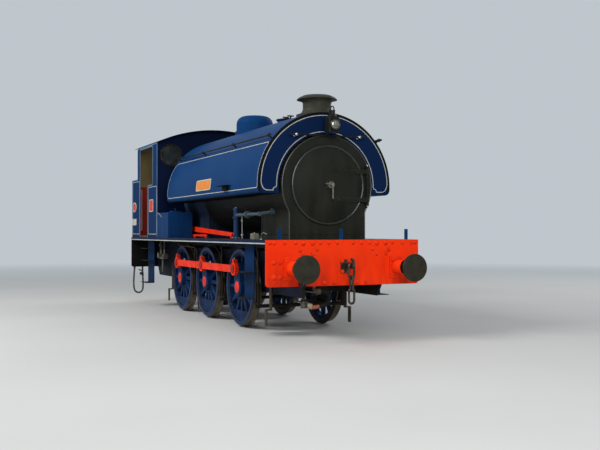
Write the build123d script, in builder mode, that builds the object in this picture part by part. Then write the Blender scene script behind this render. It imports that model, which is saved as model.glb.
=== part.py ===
"""A saddle-tank shunting locomotive on six coupled wheels, with inside cylinders and an open-sided cab.

Millimetres. +X is forward, +Y is the driver's left and +Z is up. The origin is on the floor under the
middle of the locomotive: Z = 0 is the tips of the wheel flanges, and the rail head is `rail` above it.
"""

from build123d import *
import math
import os

os.makedirs("parts", exist_ok=True)

# Overall sizes
rail = 28.0  # rail head above the flange tips
beam_face_x = 4067.0  # centre to the outer face of each buffer beam
buffer_reach = 556.0  # from a beam's face to the faces of its buffers
half_length = beam_face_x + buffer_reach
beam_thick = 28.0
beam_half_width = 1265.0
beam_top = rail + 1455.0
beam_bottom = rail + 780.0
beam_corner = 50.0
seat_gap = 0.3  # between pieces that sit on each other but aren't pressed together
shaft_gap = 0.1  # round journals, rams and pins

# Wheels, axles and rods
tread_r = 647.5
flange_depth = rail
axle_z = rail + tread_r
axle_table = {"leading": 1783.0, "driving": 30.0, "trailing": -1570.0}  # axle name: its X
wheel_back = 681.0  # centre line to the back of each wheel
tyre_width = 140.0
tyre_thick = 72.0
rim_depth = 42.0
spoke_count = 12
hub_r = 160.0
axle_r = 90.0
pin_throw = 305.0
pin_r = 52.0
boss_r = 112.0
boss_face = 862.0  # centre line to the outer face of a crank boss
rod_play = 6.0  # side clearance of a rod on its pin
rod_thick = 66.0
rod_depth = 122.0
eye_r = 112.0
crank_table = {-1: (0.0, 1.0), 1: (-1.0, 0.0)}  # side: (X, Z) way of its crank, a quarter turn apart

# Frames
frame_inner = 622.0
frame_thick = 29.0
frame_outer = frame_inner + frame_thick
frame_foot = rail + 600.0
frame_end_x = beam_face_x - beam_thick
frame_rise_x = frame_end_x - 139.0  # where the frames' lower edge starts to rise to the beam
horn_foot = rail + 455.0
horn_width = 262.0
horn_top = axle_z + 190.0
keep_depth = 40.0
deck_thick = 12.0
deck_top = beam_top
deck_under = deck_top - deck_thick
valance_depth = 62.0

# Boiler, smokebox and tank
boiler_z = rail + 2290.0
boiler_r = 700.0
smokebox_r = 765.0
smokebox_wall = 18.0
smokebox_length = 1135.0
smokebox_front_x = beam_face_x - 582.0
smokebox_back_x = smokebox_front_x - smokebox_length
saddle_half = 648.0
door_opening_r = 575.0
firebox_front_x = -520.0
firebox_foot = rail + 1000.0
firebox_half = 590.0
tank_r = 1135.0
tank_inner_r = 735.0
tank_mouth_r = 800.0  # where the tank goes round the smokebox
tank_front_x = smokebox_front_x - 55.0
tank_bottom = rail + 2150.0
tank_top = boiler_z + tank_r
chimney_x = smokebox_front_x - 385.0
chimney_height = 293.0  # above the tank's top
flue_r = 190.0
liner_r = 205.0
dome_x = 394.0
filler_x = smokebox_back_x - 400.0
filler_r = 165.0
filler_bore_r = 150.0
filler_depth = 260.0

# Cab
cab_length = 1660.0
bunker_length = 500.0
bunker_rear_x = -(beam_face_x - 37.0)
cab_rear_x = bunker_rear_x + bunker_length
cab_front_x = cab_rear_x + cab_length
firebox_back_x = cab_front_x - 350.0
tank_back_x = cab_front_x + 300.0
cab_half = beam_half_width - 15.0
sheet = 8.0
floor_thick = 40.0
bunker_top = rail + 2730.0
roof_eave = rail + 3412.0
roof_top = rail + 3690.0
roof_half = cab_half + 12.0
roof_front_x = cab_front_x + 160.0
roof_rear_x = cab_rear_x - 230.0
door_front_x = cab_front_x - 795.0
door_rear_x = cab_rear_x + 230.0
waist_z = rail + 2560.0
window_front_x = cab_front_x - 366.0
window_top = rail + 3350.0
spectacle_y = cab_half - 288.0
spectacle_z = rail + 3150.0
spectacle_r = 195.0
rear_window = (330.0, 300.0)  # width and height
rear_window_y = 640.0
rear_window_z = rail + 3020.0


def cross_plane(x):
    """A plane across the locomotive at x, drawn in (Y, Z)."""
    return Plane((x, 0, 0), x_dir=(0, 1, 0), z_dir=(1, 0, 0))


def side_plane(y):
    """A plane along the locomotive at y, drawn in (X, Z), its normal towards -Y."""
    return Plane((0, y, 0), x_dir=(1, 0, 0), z_dir=(0, -1, 0))


def wheel_plane(axle_x, y):
    """A side plane at y, drawn about the axle at axle_x."""
    return Plane((axle_x, y, axle_z), x_dir=(1, 0, 0), z_dir=(0, -1, 0))


def bar(start, end, radius):
    """A round bar between two points, in the piece being built."""
    way = Vector(end) - Vector(start)
    with Locations(Plane(start, z_dir=way).location):
        Cylinder(radius, way.length, align=(Align.CENTER, Align.CENTER, Align.MIN))


def block(low, high, mode=Mode.ADD):
    """A box between two corners, in the piece being built."""
    middle = [(a + b) / 2 for a, b in zip(low, high)]
    size = [abs(b - a) for a, b in zip(low, high)]
    with Locations(tuple(middle)):
        Box(*size, mode=mode)


def write(piece, name):
    """Labels a finished piece and writes it as parts/name.step."""
    piece.part.label = name
    export_step(piece.part, f"parts/{name}.step")


# Wheels
# Each wheel is a spoked centre with a crank boss, its pin and a balance weight, inside a flanged tyre.
tyre_inner_r = tread_r - tyre_thick
tyre_face = wheel_back + tyre_width
flange_r = tread_r + flange_depth
flange_round = 8.0
tread_fall = 6.0
web_back, web_face = wheel_back + 36, wheel_back + 98  # the spokes' back and face
rim_back, rim_face = wheel_back + 20, wheel_back + 120
spoke_foot, spoke_tip = 76.0, 48.0
weight_chord = {"leading": 400.0, "driving": 340.0, "trailing": 400.0}  # axle centre to the weight's edge
pin_end = boss_face + rod_thick + 2 * rod_play
cap_thick = 14.0


def wheel_centre(axle_x, side, chord):
    """One wheel centre with its crank boss, pin and balance weight."""
    crank = crank_table[side]
    angle = math.degrees(math.atan2(crank[1], crank[0]))
    pin_at = (crank[0] * pin_throw, crank[1] * pin_throw)
    out = -side  # the side planes' normal points to -Y
    with BuildPart() as made:
        with BuildSketch(wheel_plane(axle_x, side * rim_back)):
            Circle(tyre_inner_r)
            Circle(tyre_inner_r - rim_depth, mode=Mode.SUBTRACT)
        extrude(amount=out * (rim_face - rim_back))
        with BuildSketch(wheel_plane(axle_x, side * web_back)):
            with PolarLocations(0, spoke_count, start_angle=angle):
                Polygon(
                    (hub_r - 30, -spoke_foot / 2),
                    (tyre_inner_r - rim_depth + 8, -spoke_tip / 2),
                    (tyre_inner_r - rim_depth + 8, spoke_tip / 2),
                    (hub_r - 30, spoke_foot / 2),
                    align=None,
                )
        extrude(amount=out * (web_face - web_back))
        with BuildSketch(wheel_plane(axle_x, side * (web_back - 6))):
            Circle(tyre_inner_r - rim_depth / 2)
            with Locations((-crank[0] * (chord - tread_r), -crank[1] * (chord - tread_r))):
                Rectangle(2 * tread_r, 2 * tread_r, mode=Mode.SUBTRACT)
        extrude(amount=out * (web_face - web_back + 20))
        with BuildSketch(wheel_plane(axle_x, side * (wheel_back + 10))):
            Circle(hub_r)
        extrude(amount=out * (boss_face - 22 - wheel_back))
        with BuildSketch(wheel_plane(axle_x, side * (wheel_back + 25))):
            Circle(hub_r - 22)
            with Locations(pin_at):
                Circle(boss_r)
            make_hull()
        extrude(amount=out * (boss_face - 25 - wheel_back))
        with BuildSketch(wheel_plane(axle_x, side * (boss_face - 20))):
            Circle(axle_r)
        extrude(amount=out * 18)
        with BuildSketch(wheel_plane(axle_x, side * (boss_face - 10))):
            with Locations(pin_at):
                Circle(pin_r)
        extrude(amount=out * (pin_end - boss_face + 10))
        with BuildSketch(wheel_plane(axle_x, side * pin_end)):
            with Locations(pin_at):
                Circle(pin_r + 20)
        extrude(amount=out * cap_thick)
    return made.part


# the crank axle's webs at each throw (inner face, outer face), and its eccentrics (Y, angle)
web_table = ((210.0, 305.0), (415.0, 510.0))
inner_crank = {-1: (0.0, -1.0), 1: (1.0, 0.0)}  # each inside crank is across from the outside one
inner_throw = 330.0
web_r = 132.0
eccentric_table = ((-150.0, 20.0), (-70.0, 150.0), (70.0, 110.0), (150.0, 240.0))
eccentric_r = 180.0
eccentric_throw = 75.0
eccentric_width = 54.0


def axle(axle_x, cranked):
    """An axle from wheel to wheel; the cranked one has two inside throws and four eccentrics."""
    with BuildPart() as made:
        with BuildSketch(wheel_plane(axle_x, 0)):
            Circle(axle_r)
        extrude(amount=(web_table[0][0] if cranked else wheel_back) + 15, both=True)
        if cranked:
            for side in (-1, 1):
                crank = inner_crank[side]
                pin_at = (crank[0] * inner_throw, crank[1] * inner_throw)
                for low, high in web_table:
                    with BuildSketch(wheel_plane(axle_x, side * low)):
                        Circle(web_r)
                        with Locations(pin_at):
                            Circle(web_r - 10)
                        make_hull()
                    extrude(amount=-side * (high - low))
                with BuildSketch(wheel_plane(axle_x, side * (web_table[0][1] - 5))):
                    with Locations(pin_at):
                        Circle(axle_r)
                extrude(amount=-side * (web_table[1][0] - web_table[0][1] + 10))
                with BuildSketch(wheel_plane(axle_x, side * (web_table[1][1] - 5))):
                    Circle(axle_r)
                extrude(amount=-side * (wheel_back + 20 - web_table[1][1]))
            for y, turn in eccentric_table:
                way = (math.cos(math.radians(turn)), math.sin(math.radians(turn)))
                with BuildSketch(wheel_plane(axle_x, y)):
                    with Locations((eccentric_throw * way[0], eccentric_throw * way[1])):
                        Circle(eccentric_r)
                extrude(amount=eccentric_width / 2, both=True)
    return made.part


for place, axle_x in axle_table.items():
    with BuildPart() as wheels:
        add(axle(axle_x, place == "driving"))
        for side in (-1, 1):
            add(wheel_centre(axle_x, side, weight_chord[place]))
    write(wheels, f"{place}_wheels")
    with BuildPart() as tyres:
        for side in (-1, 1):
            with BuildSketch(Plane((axle_x, 0, axle_z), x_dir=(0, side, 0), z_dir=(side, 0, 0))):
                with BuildLine():
                    Polyline(
                        (wheel_back, tyre_inner_r),
                        (wheel_back, flange_r - flange_round),
                        (wheel_back + flange_round, flange_r),
                        (wheel_back + 20, flange_r),
                        (wheel_back + 34, tread_r + 4),
                        (wheel_back + 44, tread_r),
                        (tyre_face - 6, tread_r - tread_fall),
                        (tyre_face, tread_r - 2 * tread_fall),
                        (tyre_face, tyre_inner_r),
                        close=True,
                    )
                make_face()
            revolve(axis=Axis((axle_x, 0, axle_z), (0, 1, 0)))
    write(tyres, f"{place}_tyres")

# Coupling rods
# On each side the front rod joins the leading and driving pins. The rear rod is pinned in a fork just
# behind the driving pin and runs to the trailing pin.
knuckle_back = 215.0  # knuckle pin behind the driving crank pin
knuckle_r = 70.0
knuckle_pin_r = 26.0
tongue_thick = 26.0
cup_size = (66.0, 64.0)  # width and height of an oil cup
rod_inner = boss_face + rod_play
rod_mid = rod_inner + rod_thick / 2
rod_bore_r = pin_r + shaft_gap
for side, name in ((-1, "right"), (1, "left")):
    crank = crank_table[side]
    pin_z = axle_z + crank[1] * pin_throw
    pin_x = {place: x + crank[0] * pin_throw for place, x in axle_table.items()}
    knuckle_x = pin_x["driving"] - knuckle_back
    fork_x = knuckle_x - knuckle_r - 22  # where the rear rod thins to its tongue
    cup_z = pin_z + eye_r + cup_size[1] / 2 - 12
    out = -side
    with BuildPart() as front_rod:
        with BuildSketch(side_plane(side * rod_inner)):
            for place in ("leading", "driving"):
                with Locations((pin_x[place], pin_z)):
                    Circle(eye_r)
                with Locations((pin_x[place], cup_z)):
                    Rectangle(*cup_size)
            with Locations((knuckle_x, pin_z)):
                Circle(knuckle_r)
            with Locations(((knuckle_x + pin_x["leading"]) / 2, pin_z)):
                Rectangle(pin_x["leading"] - knuckle_x, rod_depth)
            for place in ("leading", "driving"):
                with Locations((pin_x[place], pin_z)):
                    Circle(rod_bore_r, mode=Mode.SUBTRACT)
            with Locations((knuckle_x, pin_z)):
                Circle(knuckle_pin_r, mode=Mode.SUBTRACT)
        extrude(amount=out * rod_thick)
        # the fork's slot
        with BuildSketch(side_plane(side * (rod_mid - tongue_thick / 2 - seat_gap))):
            with Locations((knuckle_x - 10, pin_z)):
                Rectangle(2 * knuckle_r + 24, 2 * knuckle_r + 20)
        extrude(amount=out * (tongue_thick + 2 * seat_gap), mode=Mode.SUBTRACT)
    write(front_rod, f"coupling_rod_front_{name}")
    with BuildPart() as rear_rod:
        with BuildSketch(side_plane(side * rod_inner)):
            with Locations((pin_x["trailing"], pin_z)):
                Circle(eye_r)
            with Locations((pin_x["trailing"], cup_z)):
                Rectangle(*cup_size)
            with Locations(((pin_x["trailing"] + fork_x) / 2, pin_z)):
                Rectangle(fork_x - pin_x["trailing"], rod_depth)
            with Locations((pin_x["trailing"], pin_z)):
                Circle(rod_bore_r, mode=Mode.SUBTRACT)
        extrude(amount=out * rod_thick)
        with BuildSketch(side_plane(side * (rod_mid - tongue_thick / 2))):
            with Locations(((fork_x - 30 + knuckle_x) / 2, pin_z)):
                Rectangle(knuckle_x - fork_x + 30, rod_depth - 16)
            with Locations((knuckle_x, pin_z)):
                Circle(knuckle_r - 10)
        extrude(amount=out * tongue_thick)
        with BuildSketch(side_plane(side * (rod_inner - rod_play / 2))):
            with Locations((knuckle_x, pin_z)):
                Circle(knuckle_pin_r - shaft_gap)
        extrude(amount=out * (rod_thick + 2 * rod_play))
    write(rear_rod, f"coupling_rod_rear_{name}")

# Main frames
# Two plates, cut up into horns round each axlebox and closed below by keeps.
horn_spread = (300.0, 420.0)  # the horn cheeks' foot and where they meet the frame's lower edge
outline = [(frame_end_x, deck_under), (frame_end_x, beam_bottom + 20), (frame_rise_x, frame_foot)]
for axle_x in axle_table.values():
    outline += [
        (axle_x + horn_spread[1], frame_foot),
        (axle_x + horn_spread[0], horn_foot),
        (axle_x + horn_width / 2, horn_foot),
        (axle_x + horn_width / 2, horn_top),
        (axle_x - horn_width / 2, horn_top),
        (axle_x - horn_width / 2, horn_foot),
        (axle_x - horn_spread[0], horn_foot),
        (axle_x - horn_spread[1], frame_foot),
    ]
outline += [(-frame_rise_x, frame_foot), (-frame_end_x, beam_bottom + 20), (-frame_end_x, deck_under)]
with BuildPart() as frames:
    with BuildSketch(side_plane(-frame_inner)):
        with BuildLine():
            Polyline(*outline, close=True)
        make_face()
        for axle_x in axle_table.values():
            with Locations((axle_x, horn_foot - keep_depth / 2)):
                Rectangle(2 * horn_spread[0], keep_depth)
    extrude(amount=frame_thick)
    mirror(about=Plane.XZ)
write(frames, "main_frames")

# Axleboxes, in the horns, each bored for its journal
box_back = frame_inner - 44.0
box_face = wheel_back - 7.0
with BuildPart() as axleboxes:
    with BuildSketch(side_plane(-box_back)):
        for axle_x in axle_table.values():
            with Locations((axle_x, (horn_foot + horn_top) / 2)):
                Rectangle(horn_width, horn_top - horn_foot - 2 * seat_gap)
            with Locations((axle_x, axle_z)):
                Circle(axle_r + shaft_gap, mode=Mode.SUBTRACT)
    extrude(amount=box_face - box_back)
    mirror(about=Plane.XZ)
write(axleboxes, "axleboxes")

# Leaf springs, under the axleboxes, with hangers that straddle the frames
spring_half = 400.0
spring_width = 74.0
spring_y = (frame_inner + frame_outer) / 2
spring_top = horn_foot - keep_depth
buckle = (90.0, 120.0)  # length and height
hanger = 28.0
hanger_top = frame_foot + 45.0
leaf = 14.0
leaf_shares = (1.0, 0.82, 0.64, 0.46, 0.3)
with BuildPart() as springs:
    with BuildSketch(side_plane(-(spring_y - spring_width / 2))):
        for axle_x in axle_table.values():
            for index, share in enumerate(leaf_shares):
                with Locations((axle_x, spring_top - 46 - index * leaf)):
                    Rectangle(2 * spring_half * share, leaf)
            with Locations((axle_x, spring_top - buckle[1] / 2)):
                Rectangle(*buckle)
            for end in (-1, 1):
                with Locations((axle_x + end * (spring_half - 22), (spring_top - 50 + hanger_top) / 2)):
                    Rectangle(hanger, hanger_top - spring_top + 50)
    extrude(amount=spring_width)
    block(
        (-half_length, -frame_outer - seat_gap, spring_top + seat_gap),
        (half_length, -frame_inner + seat_gap, deck_top),
        mode=Mode.SUBTRACT,
    )
    mirror(about=Plane.XZ)
write(springs, "leaf_springs")

# Frame stretchers: (X, low Z, high Z, thickness)
stretcher_table = (
    (frame_end_x - 279.0, rail + 820.0, deck_under, 20.0),
    (1180.0, rail + 1180.0, deck_under, 24.0),
    (640.0, rail + 1180.0, deck_under, 20.0),
    (cab_front_x - 550.0, rail + 700.0, deck_under, 20.0),
    (cab_rear_x + 280.0, rail + 700.0, deck_under, 20.0),
)
with BuildPart() as stretchers:
    for x, low, high, thick in stretcher_table:
        block((x - thick / 2, -frame_inner, low), (x + thick / 2, frame_inner, high))
write(stretchers, "frame_stretchers")

# Cylinder block, a heavy casting between the frames under the smokebox
block_back_x, block_front_x = smokebox_back_x + 130, smokebox_front_x - 185
cylinder_y, cylinder_z, cover_r, cover_thick = 325.0, rail + 1000.0, 270.0, 50.0
with BuildPart() as cylinders:
    block((block_back_x, -frame_inner, rail + 640), (block_front_x, frame_inner, deck_under))
    for x, end in ((block_back_x, -1), (block_front_x, 1)):
        with BuildSketch(cross_plane(x)):
            with Locations((-cylinder_y, cylinder_z), (cylinder_y, cylinder_z)):
                Circle(cover_r)
        extrude(amount=end * cover_thick)
write(cylinders, "cylinder_block")

# Slide bars, from the back covers to the motion plate
bar_front_x = block_back_x - cover_thick
bar_back_x = stretcher_table[1][0] + stretcher_table[1][3] / 2
bar_fall = 60.0  # over their length
with BuildPart() as slide_bars:
    for y in (-cylinder_y, cylinder_y):
        for lift in (-95.0, 95.0):
            with BuildSketch(side_plane(y)):
                with BuildLine():
                    front_z = cylinder_z + lift
                    back_z = front_z - bar_fall
                    Polyline(
                        (bar_front_x, front_z - 30),
                        (bar_front_x, front_z + 30),
                        (bar_back_x + 10, back_z + 30),
                        (bar_back_x + 10, back_z - 30),
                        close=True,
                    )
                make_face()
            extrude(amount=38, both=True)
        block(
            (bar_back_x, y - 60, cylinder_z - 215),
            (bar_back_x + 30, y + 60, stretcher_table[1][1] + 90),
        )
write(slide_bars, "slide_bars")

# Brake gear: on each axle two hangers with their blocks ahead of the wheels, and a beam between them
shoe_gap = 6.0
shoe_y = wheel_back + 78.0
shoe_width = 76.0
shoe_thick = 62.0
shoe_drop = 60.0
brake_hanger = (60.0, 28.0)  # along and across
beam_drop = 270.0
hanger_pin_z = deck_under - 160.0
with BuildPart() as brakes:
    for axle_x in axle_table.values():
        hanger_x = axle_x + tread_r + shoe_gap + shoe_thick / 2 + brake_hanger[0] / 2
        for side in (-1, 1):
            with BuildSketch(wheel_plane(axle_x, side * (shoe_y - shoe_width / 2))):
                Circle(tread_r + shoe_gap + shoe_thick)
                Circle(tread_r + shoe_gap, mode=Mode.SUBTRACT)
                with Locations((tread_r + shoe_thick, -shoe_drop)):
                    Rectangle(220, 330, mode=Mode.INTERSECT)
            extrude(amount=-side * shoe_width)
            block(
                (
                    hanger_x - brake_hanger[0] / 2,
                    side * shoe_y - brake_hanger[1] / 2,
                    axle_z - beam_drop - 40,
                ),
                (
                    hanger_x + brake_hanger[0] / 2,
                    side * shoe_y + brake_hanger[1] / 2,
                    hanger_pin_z + 40,
                ),
            )
            bar((hanger_x, side * frame_outer, hanger_pin_z), (hanger_x, side * (shoe_y + 30), hanger_pin_z), 26)
        bar((hanger_x, -shoe_y - 60, axle_z - beam_drop), (hanger_x, shoe_y + 60, axle_z - beam_drop), 30)
write(brakes, "brake_gear")

# Guard irons, bolted to the frames ahead of the outer wheels and cranked out over the rails
iron_x, iron_width, iron_thick = 2790.0, 80.0, 20.0
iron_y = 750.0
iron_knee, iron_toe, iron_head = rail + 330, rail + 90, rail + 900
with BuildPart() as irons:
    for end in (-1, 1):
        back, front = end * iron_x - iron_width / 2, end * iron_x + iron_width / 2
        block((back, frame_outer, iron_knee), (front, frame_outer + iron_thick, iron_head))
        block((back, frame_outer, iron_knee), (front, iron_y, iron_knee + iron_thick))
        block((back, iron_y - iron_thick, iron_toe), (front, iron_y, iron_knee + iron_thick))
    mirror(about=Plane.XZ)
write(irons, "guard_irons")

# Running plate, open between the frames round the boiler and firebox
hole_front_x = smokebox_back_x - 150
hole_rear_x = firebox_back_x - 60
with BuildPart() as running_plate:
    with BuildSketch(Plane.XY.offset(deck_under)):
        Rectangle(2 * frame_end_x, 2 * beam_half_width)
        with Locations(((hole_front_x + hole_rear_x) / 2, 0)):
            Rectangle(hole_front_x - hole_rear_x, 2 * frame_inner, mode=Mode.SUBTRACT)
    extrude(amount=deck_thick)
    with BuildSketch(Plane.XY.offset(deck_under)):
        for side in (-1, 1):
            with Locations((0, side * (beam_half_width - deck_thick / 2))):
                Rectangle(2 * frame_end_x, deck_thick)
    extrude(amount=-(valance_depth - deck_thick))
write(running_plate, "running_plate")

# Buffer beams, across the frame ends
hook_slot = (36.0, 74.0)  # width and height of the drawhook's slot
hook_z = rail + 1065.0
with BuildPart() as beams:
    for end in (-1, 1):
        with BuildSketch(cross_plane(end * frame_end_x)):
            with Locations((0, (beam_top + beam_bottom) / 2)):
                Rectangle(2 * beam_half_width, beam_top - beam_bottom)
            with Locations((0, hook_z)):
                Rectangle(*hook_slot, mode=Mode.SUBTRACT)
        extrude(amount=end * beam_thick)
    fillet(beams.edges().filter_by(Axis.X).group_by(Axis.Z)[0], beam_corner)
write(beams, "buffer_beams")

# Buffers: a stock on each beam, and a head whose ram slides in it
buffer_y = 870.0
buffer_z = rail + 1045.0
head_r = 204.0
head_thick = 34.0
ram_r = 72.0
ram_in = 200.0  # of the ram inside the stock
stock_foot = (240.0, 330.0)  # width and height
stock_foot_thick = 26.0
stock_length = 330.0
stock_r = (112.0, 100.0)  # at the foot and at the mouth
stock_collar_r = 124.0
stock_collar = 46.0  # length of the collar round the mouth
foot_x = beam_face_x + stock_foot_thick
mouth_x = beam_face_x + stock_length
with BuildPart() as stocks:
    for end in (-1, 1):
        with BuildSketch(cross_plane(end * beam_face_x)):
            with Locations((-buffer_y, buffer_z), (buffer_y, buffer_z)):
                Rectangle(*stock_foot)
        extrude(amount=end * stock_foot_thick)
        for side in (-1, 1):
            with Locations(Plane((end * foot_x, side * buffer_y, buffer_z), z_dir=(end, 0, 0)).location):
                Cone(*stock_r, mouth_x - foot_x, align=(Align.CENTER, Align.CENTER, Align.MIN))
        with BuildSketch(cross_plane(end * mouth_x)):
            with Locations((-buffer_y, buffer_z), (buffer_y, buffer_z)):
                Circle(stock_collar_r)
        extrude(amount=-end * stock_collar)
        with BuildSketch(cross_plane(end * foot_x)):
            with Locations((-buffer_y, buffer_z), (buffer_y, buffer_z)):
                Circle(ram_r + shaft_gap)
        extrude(amount=end * stock_length, mode=Mode.SUBTRACT)
write(stocks, "buffer_stocks")
with BuildPart() as heads:
    for end in (-1, 1):
        with BuildSketch(cross_plane(end * (half_length - head_thick))):
            with Locations((-buffer_y, buffer_z), (buffer_y, buffer_z)):
                Circle(head_r)
        extrude(amount=end * head_thick)
        with BuildSketch(cross_plane(end * (mouth_x - ram_in))):
            with Locations((-buffer_y, buffer_z), (buffer_y, buffer_z)):
                Circle(ram_r)
        extrude(amount=end * (half_length - 5 - mouth_x + ram_in))
    fillet(heads.edges().filter_by(GeomType.CIRCLE).filter_by(lambda e: abs(e.radius - head_r) < 1), 8)
write(heads, "buffer_heads")

# Drawhooks: a shank through the beam with a collar outside it, and an upturned hook
hook_half = 16.0
hook_reach = 250.0
with BuildPart() as hooks:
    for end in (-1, 1):
        face = end * beam_face_x
        with BuildSketch(side_plane(hook_half)):
            with Locations((face + end * hook_reach / 2 - end * 60, hook_z)):
                Rectangle(hook_reach + 60, hook_slot[1] - 6)
            with Locations((face + end * (hook_reach - 35), hook_z + 45)):
                Circle(82)
            with Locations((face + end * (hook_reach - 40), hook_z + 52)):
                Circle(34, mode=Mode.SUBTRACT)
            with Locations((face + end * (hook_reach - 85), hook_z + 112)):
                Rectangle(90, 110, mode=Mode.SUBTRACT)
        extrude(amount=2 * hook_half)
        with BuildSketch(cross_plane(face)):
            with Locations((0, hook_z)):
                RectangleRounded(150, 200, 30)
                Rectangle(2 * hook_half, hook_slot[1], mode=Mode.SUBTRACT)
        extrude(amount=end * 20)
write(hooks, "drawhooks")

# Three plain links hang from each hook, each a round bar bent to an oval
link_length, link_width, link_r = 250.0, 120.0, 17.0
link_bend = link_width / 2 - 2 * link_r  # inside radius at a link's ends
throat_z = hook_z + 52 - 34
seat_rise = link_bend - math.sqrt(link_bend**2 - hook_half**2)
top_z = throat_z + 2 * link_r + seat_rise + seat_gap
with BuildPart() as links:
    for end in (-1, 1):
        hang_x = end * (beam_face_x + hook_reach - 40)
        for index in range(3):
            high = top_z - index * (link_length - 4 * link_r - seat_gap)
            straight = (link_length - link_width) / 2
            half = link_width / 2 - link_r
            across = (0, 1, 0) if index % 2 == 0 else (1, 0, 0)
            facing = (1, 0, 0) if index % 2 == 0 else (0, -1, 0)
            oval = Plane((hang_x, 0, high - link_length / 2), x_dir=across, z_dir=facing)
            with BuildLine(oval) as route:
                Line((half, -straight), (half, straight))
                ThreePointArc((half, straight), (0, straight + half), (-half, straight))
                Line((-half, straight), (-half, -straight))
                ThreePointArc((-half, -straight), (0, -straight - half), (half, -straight))
            with BuildSketch(Plane(oval.from_local_coords((half, 0, 0)), z_dir=(0, 0, 1))):
                Circle(link_r)
            sweep(path=route.wire())
write(links, "coupling_links")

# Smokebox: a drum on a straight-sided saddle, with a tubeplate behind and a front plate
tubeplate_thick = 25.0
front_plate = 22.0
bearer_width = 60.0
waist_round = 150.0
with BuildPart() as smokebox:
    with BuildSketch(cross_plane(smokebox_back_x)):
        with Locations((0, boiler_z)):
            Circle(smokebox_r)
        with Locations((0, (deck_top + boiler_z) / 2)):
            Rectangle(2 * saddle_half, boiler_z - deck_top)
    extrude(amount=smokebox_front_x - smokebox_back_x)
    waist = smokebox.edges().filter_by(Axis.X).group_by(Axis.Z)[-1]
    fillet(waist, waist_round)
    # tank bearers
    for x in (smokebox_back_x + 130, smokebox_front_x - 205):
        with BuildSketch(cross_plane(x)):
            with Locations((0, boiler_z)):
                Circle(tank_mouth_r)
                Circle(smokebox_r - 2, mode=Mode.SUBTRACT)
            with Locations((0, tank_bottom + 20 - tank_r)):
                Rectangle(2 * tank_r, 2 * tank_r, mode=Mode.SUBTRACT)
        extrude(amount=bearer_width)
    with BuildSketch(cross_plane(smokebox_back_x + tubeplate_thick)):
        with Locations((0, boiler_z)):
            Circle(smokebox_r - smokebox_wall)
    extrude(amount=smokebox_front_x - front_plate - smokebox_back_x - tubeplate_thick, mode=Mode.SUBTRACT)
    with BuildSketch(cross_plane(smokebox_front_x)):
        with Locations((0, boiler_z)):
            Circle(door_opening_r)
    extrude(amount=-2 * front_plate, mode=Mode.SUBTRACT)
    with BuildSketch(Plane.XY.offset(boiler_z)):
        with Locations((chimney_x, 0)):
            Circle(liner_r)
    extrude(amount=smokebox_r + 100, mode=Mode.SUBTRACT)
write(smokebox, "smokebox")

# Blastpipe, standing on the smokebox floor under the chimney
blast_foot = boiler_z - smokebox_r + smokebox_wall
with BuildPart() as blastpipe:
    with Locations((chimney_x, 0, blast_foot + 1)):
        Cone(130, 70, 560, align=(Align.CENTER, Align.CENTER, Align.MIN))
    with BuildSketch(cross_plane(smokebox_back_x)):
        with Locations((0, boiler_z)):
            Circle(smokebox_r - smokebox_wall - seat_gap)
    extrude(amount=smokebox_front_x - smokebox_back_x, mode=Mode.INTERSECT)
write(blastpipe, "blastpipe")

# Smokebox door: a dished disc with a raised rim, hinged on the left by two straps
door_r = 618.0
door_sheet = 14.0
door_dish = 92.0
rim_width = 34.0
rim_proud = 22.0
hinge_y = 668.0
hinge_rise = 220.0  # of each strap above and below the boiler centre line
strap_height = 66.0
strap_thick = 14.0
strap_bend = 500.0
hinge_pin_r = 17.0
hinge_x = smokebox_front_x + 42.0
door_back = smokebox_front_x + seat_gap
rim_in = door_r - rim_width
dish_r = (rim_in**2 + door_dish**2) / (2 * door_dish)
dish_x = door_back + door_sheet + door_dish - dish_r  # centre of the dish's outer face
dart_hole_r = 24.0


def dish_at(radius):
    """X of the dish's outer face at a distance from the door's middle."""
    return dish_x + math.sqrt(dish_r**2 - radius**2)


with BuildPart() as door:
    with BuildSketch(Plane((0, 0, boiler_z), x_dir=(1, 0, 0), z_dir=(0, -1, 0))):
        with BuildLine():
            Polyline(
                (dish_at(dart_hole_r) - door_sheet, dart_hole_r),
                (dish_at(dart_hole_r), dart_hole_r),
            )
            ThreePointArc(
                (dish_at(dart_hole_r), dart_hole_r),
                (dish_at(rim_in / 2), rim_in / 2),
                (dish_at(rim_in), rim_in),
            )
            Polyline(
                (dish_at(rim_in), rim_in),
                (door_back + rim_proud, rim_in),
                (door_back + rim_proud, door_r),
                (door_back, door_r),
                (dish_at(rim_in) - door_sheet, rim_in),
            )
            ThreePointArc(
                (dish_at(rim_in) - door_sheet, rim_in),
                (dish_at(rim_in / 2) - door_sheet, rim_in / 2),
                (dish_at(dart_hole_r) - door_sheet, dart_hole_r),
            )
        make_face()
    revolve(axis=Axis((0, 0, boiler_z), (1, 0, 0)))
    # straps, from the middle of the door out to the hinge's eyes
    for rise in (-hinge_rise, hinge_rise):
        low_z = boiler_z + rise - strap_height / 2
        with BuildSketch(Plane.XY.offset(low_z)):
            with BuildLine():
                near = dish_at(abs(rise))
                far = dish_at(math.hypot(rise, strap_bend))
                Polyline(
                    (near - 6, 60),
                    (near + strap_thick, 60),
                    (far + strap_thick + 12, strap_bend),
                    (hinge_x + 18, hinge_y),
                    (hinge_x - 18, hinge_y),
                    (door_back + 8, strap_bend + 60),
                    close=True,
                )
            make_face()
        extrude(amount=strap_height)
        with BuildSketch(Plane.XY.offset(low_z)):
            with Locations((hinge_x, hinge_y)):
                Circle(hinge_pin_r + 16)
        extrude(amount=strap_height)
    bore_low = boiler_z - hinge_rise - strap_height
    with BuildSketch(Plane.XY.offset(bore_low)):
        with Locations((hinge_x, hinge_y)):
            Circle(hinge_pin_r + shaft_gap)
    extrude(amount=2 * (hinge_rise + strap_height), mode=Mode.SUBTRACT)
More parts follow.
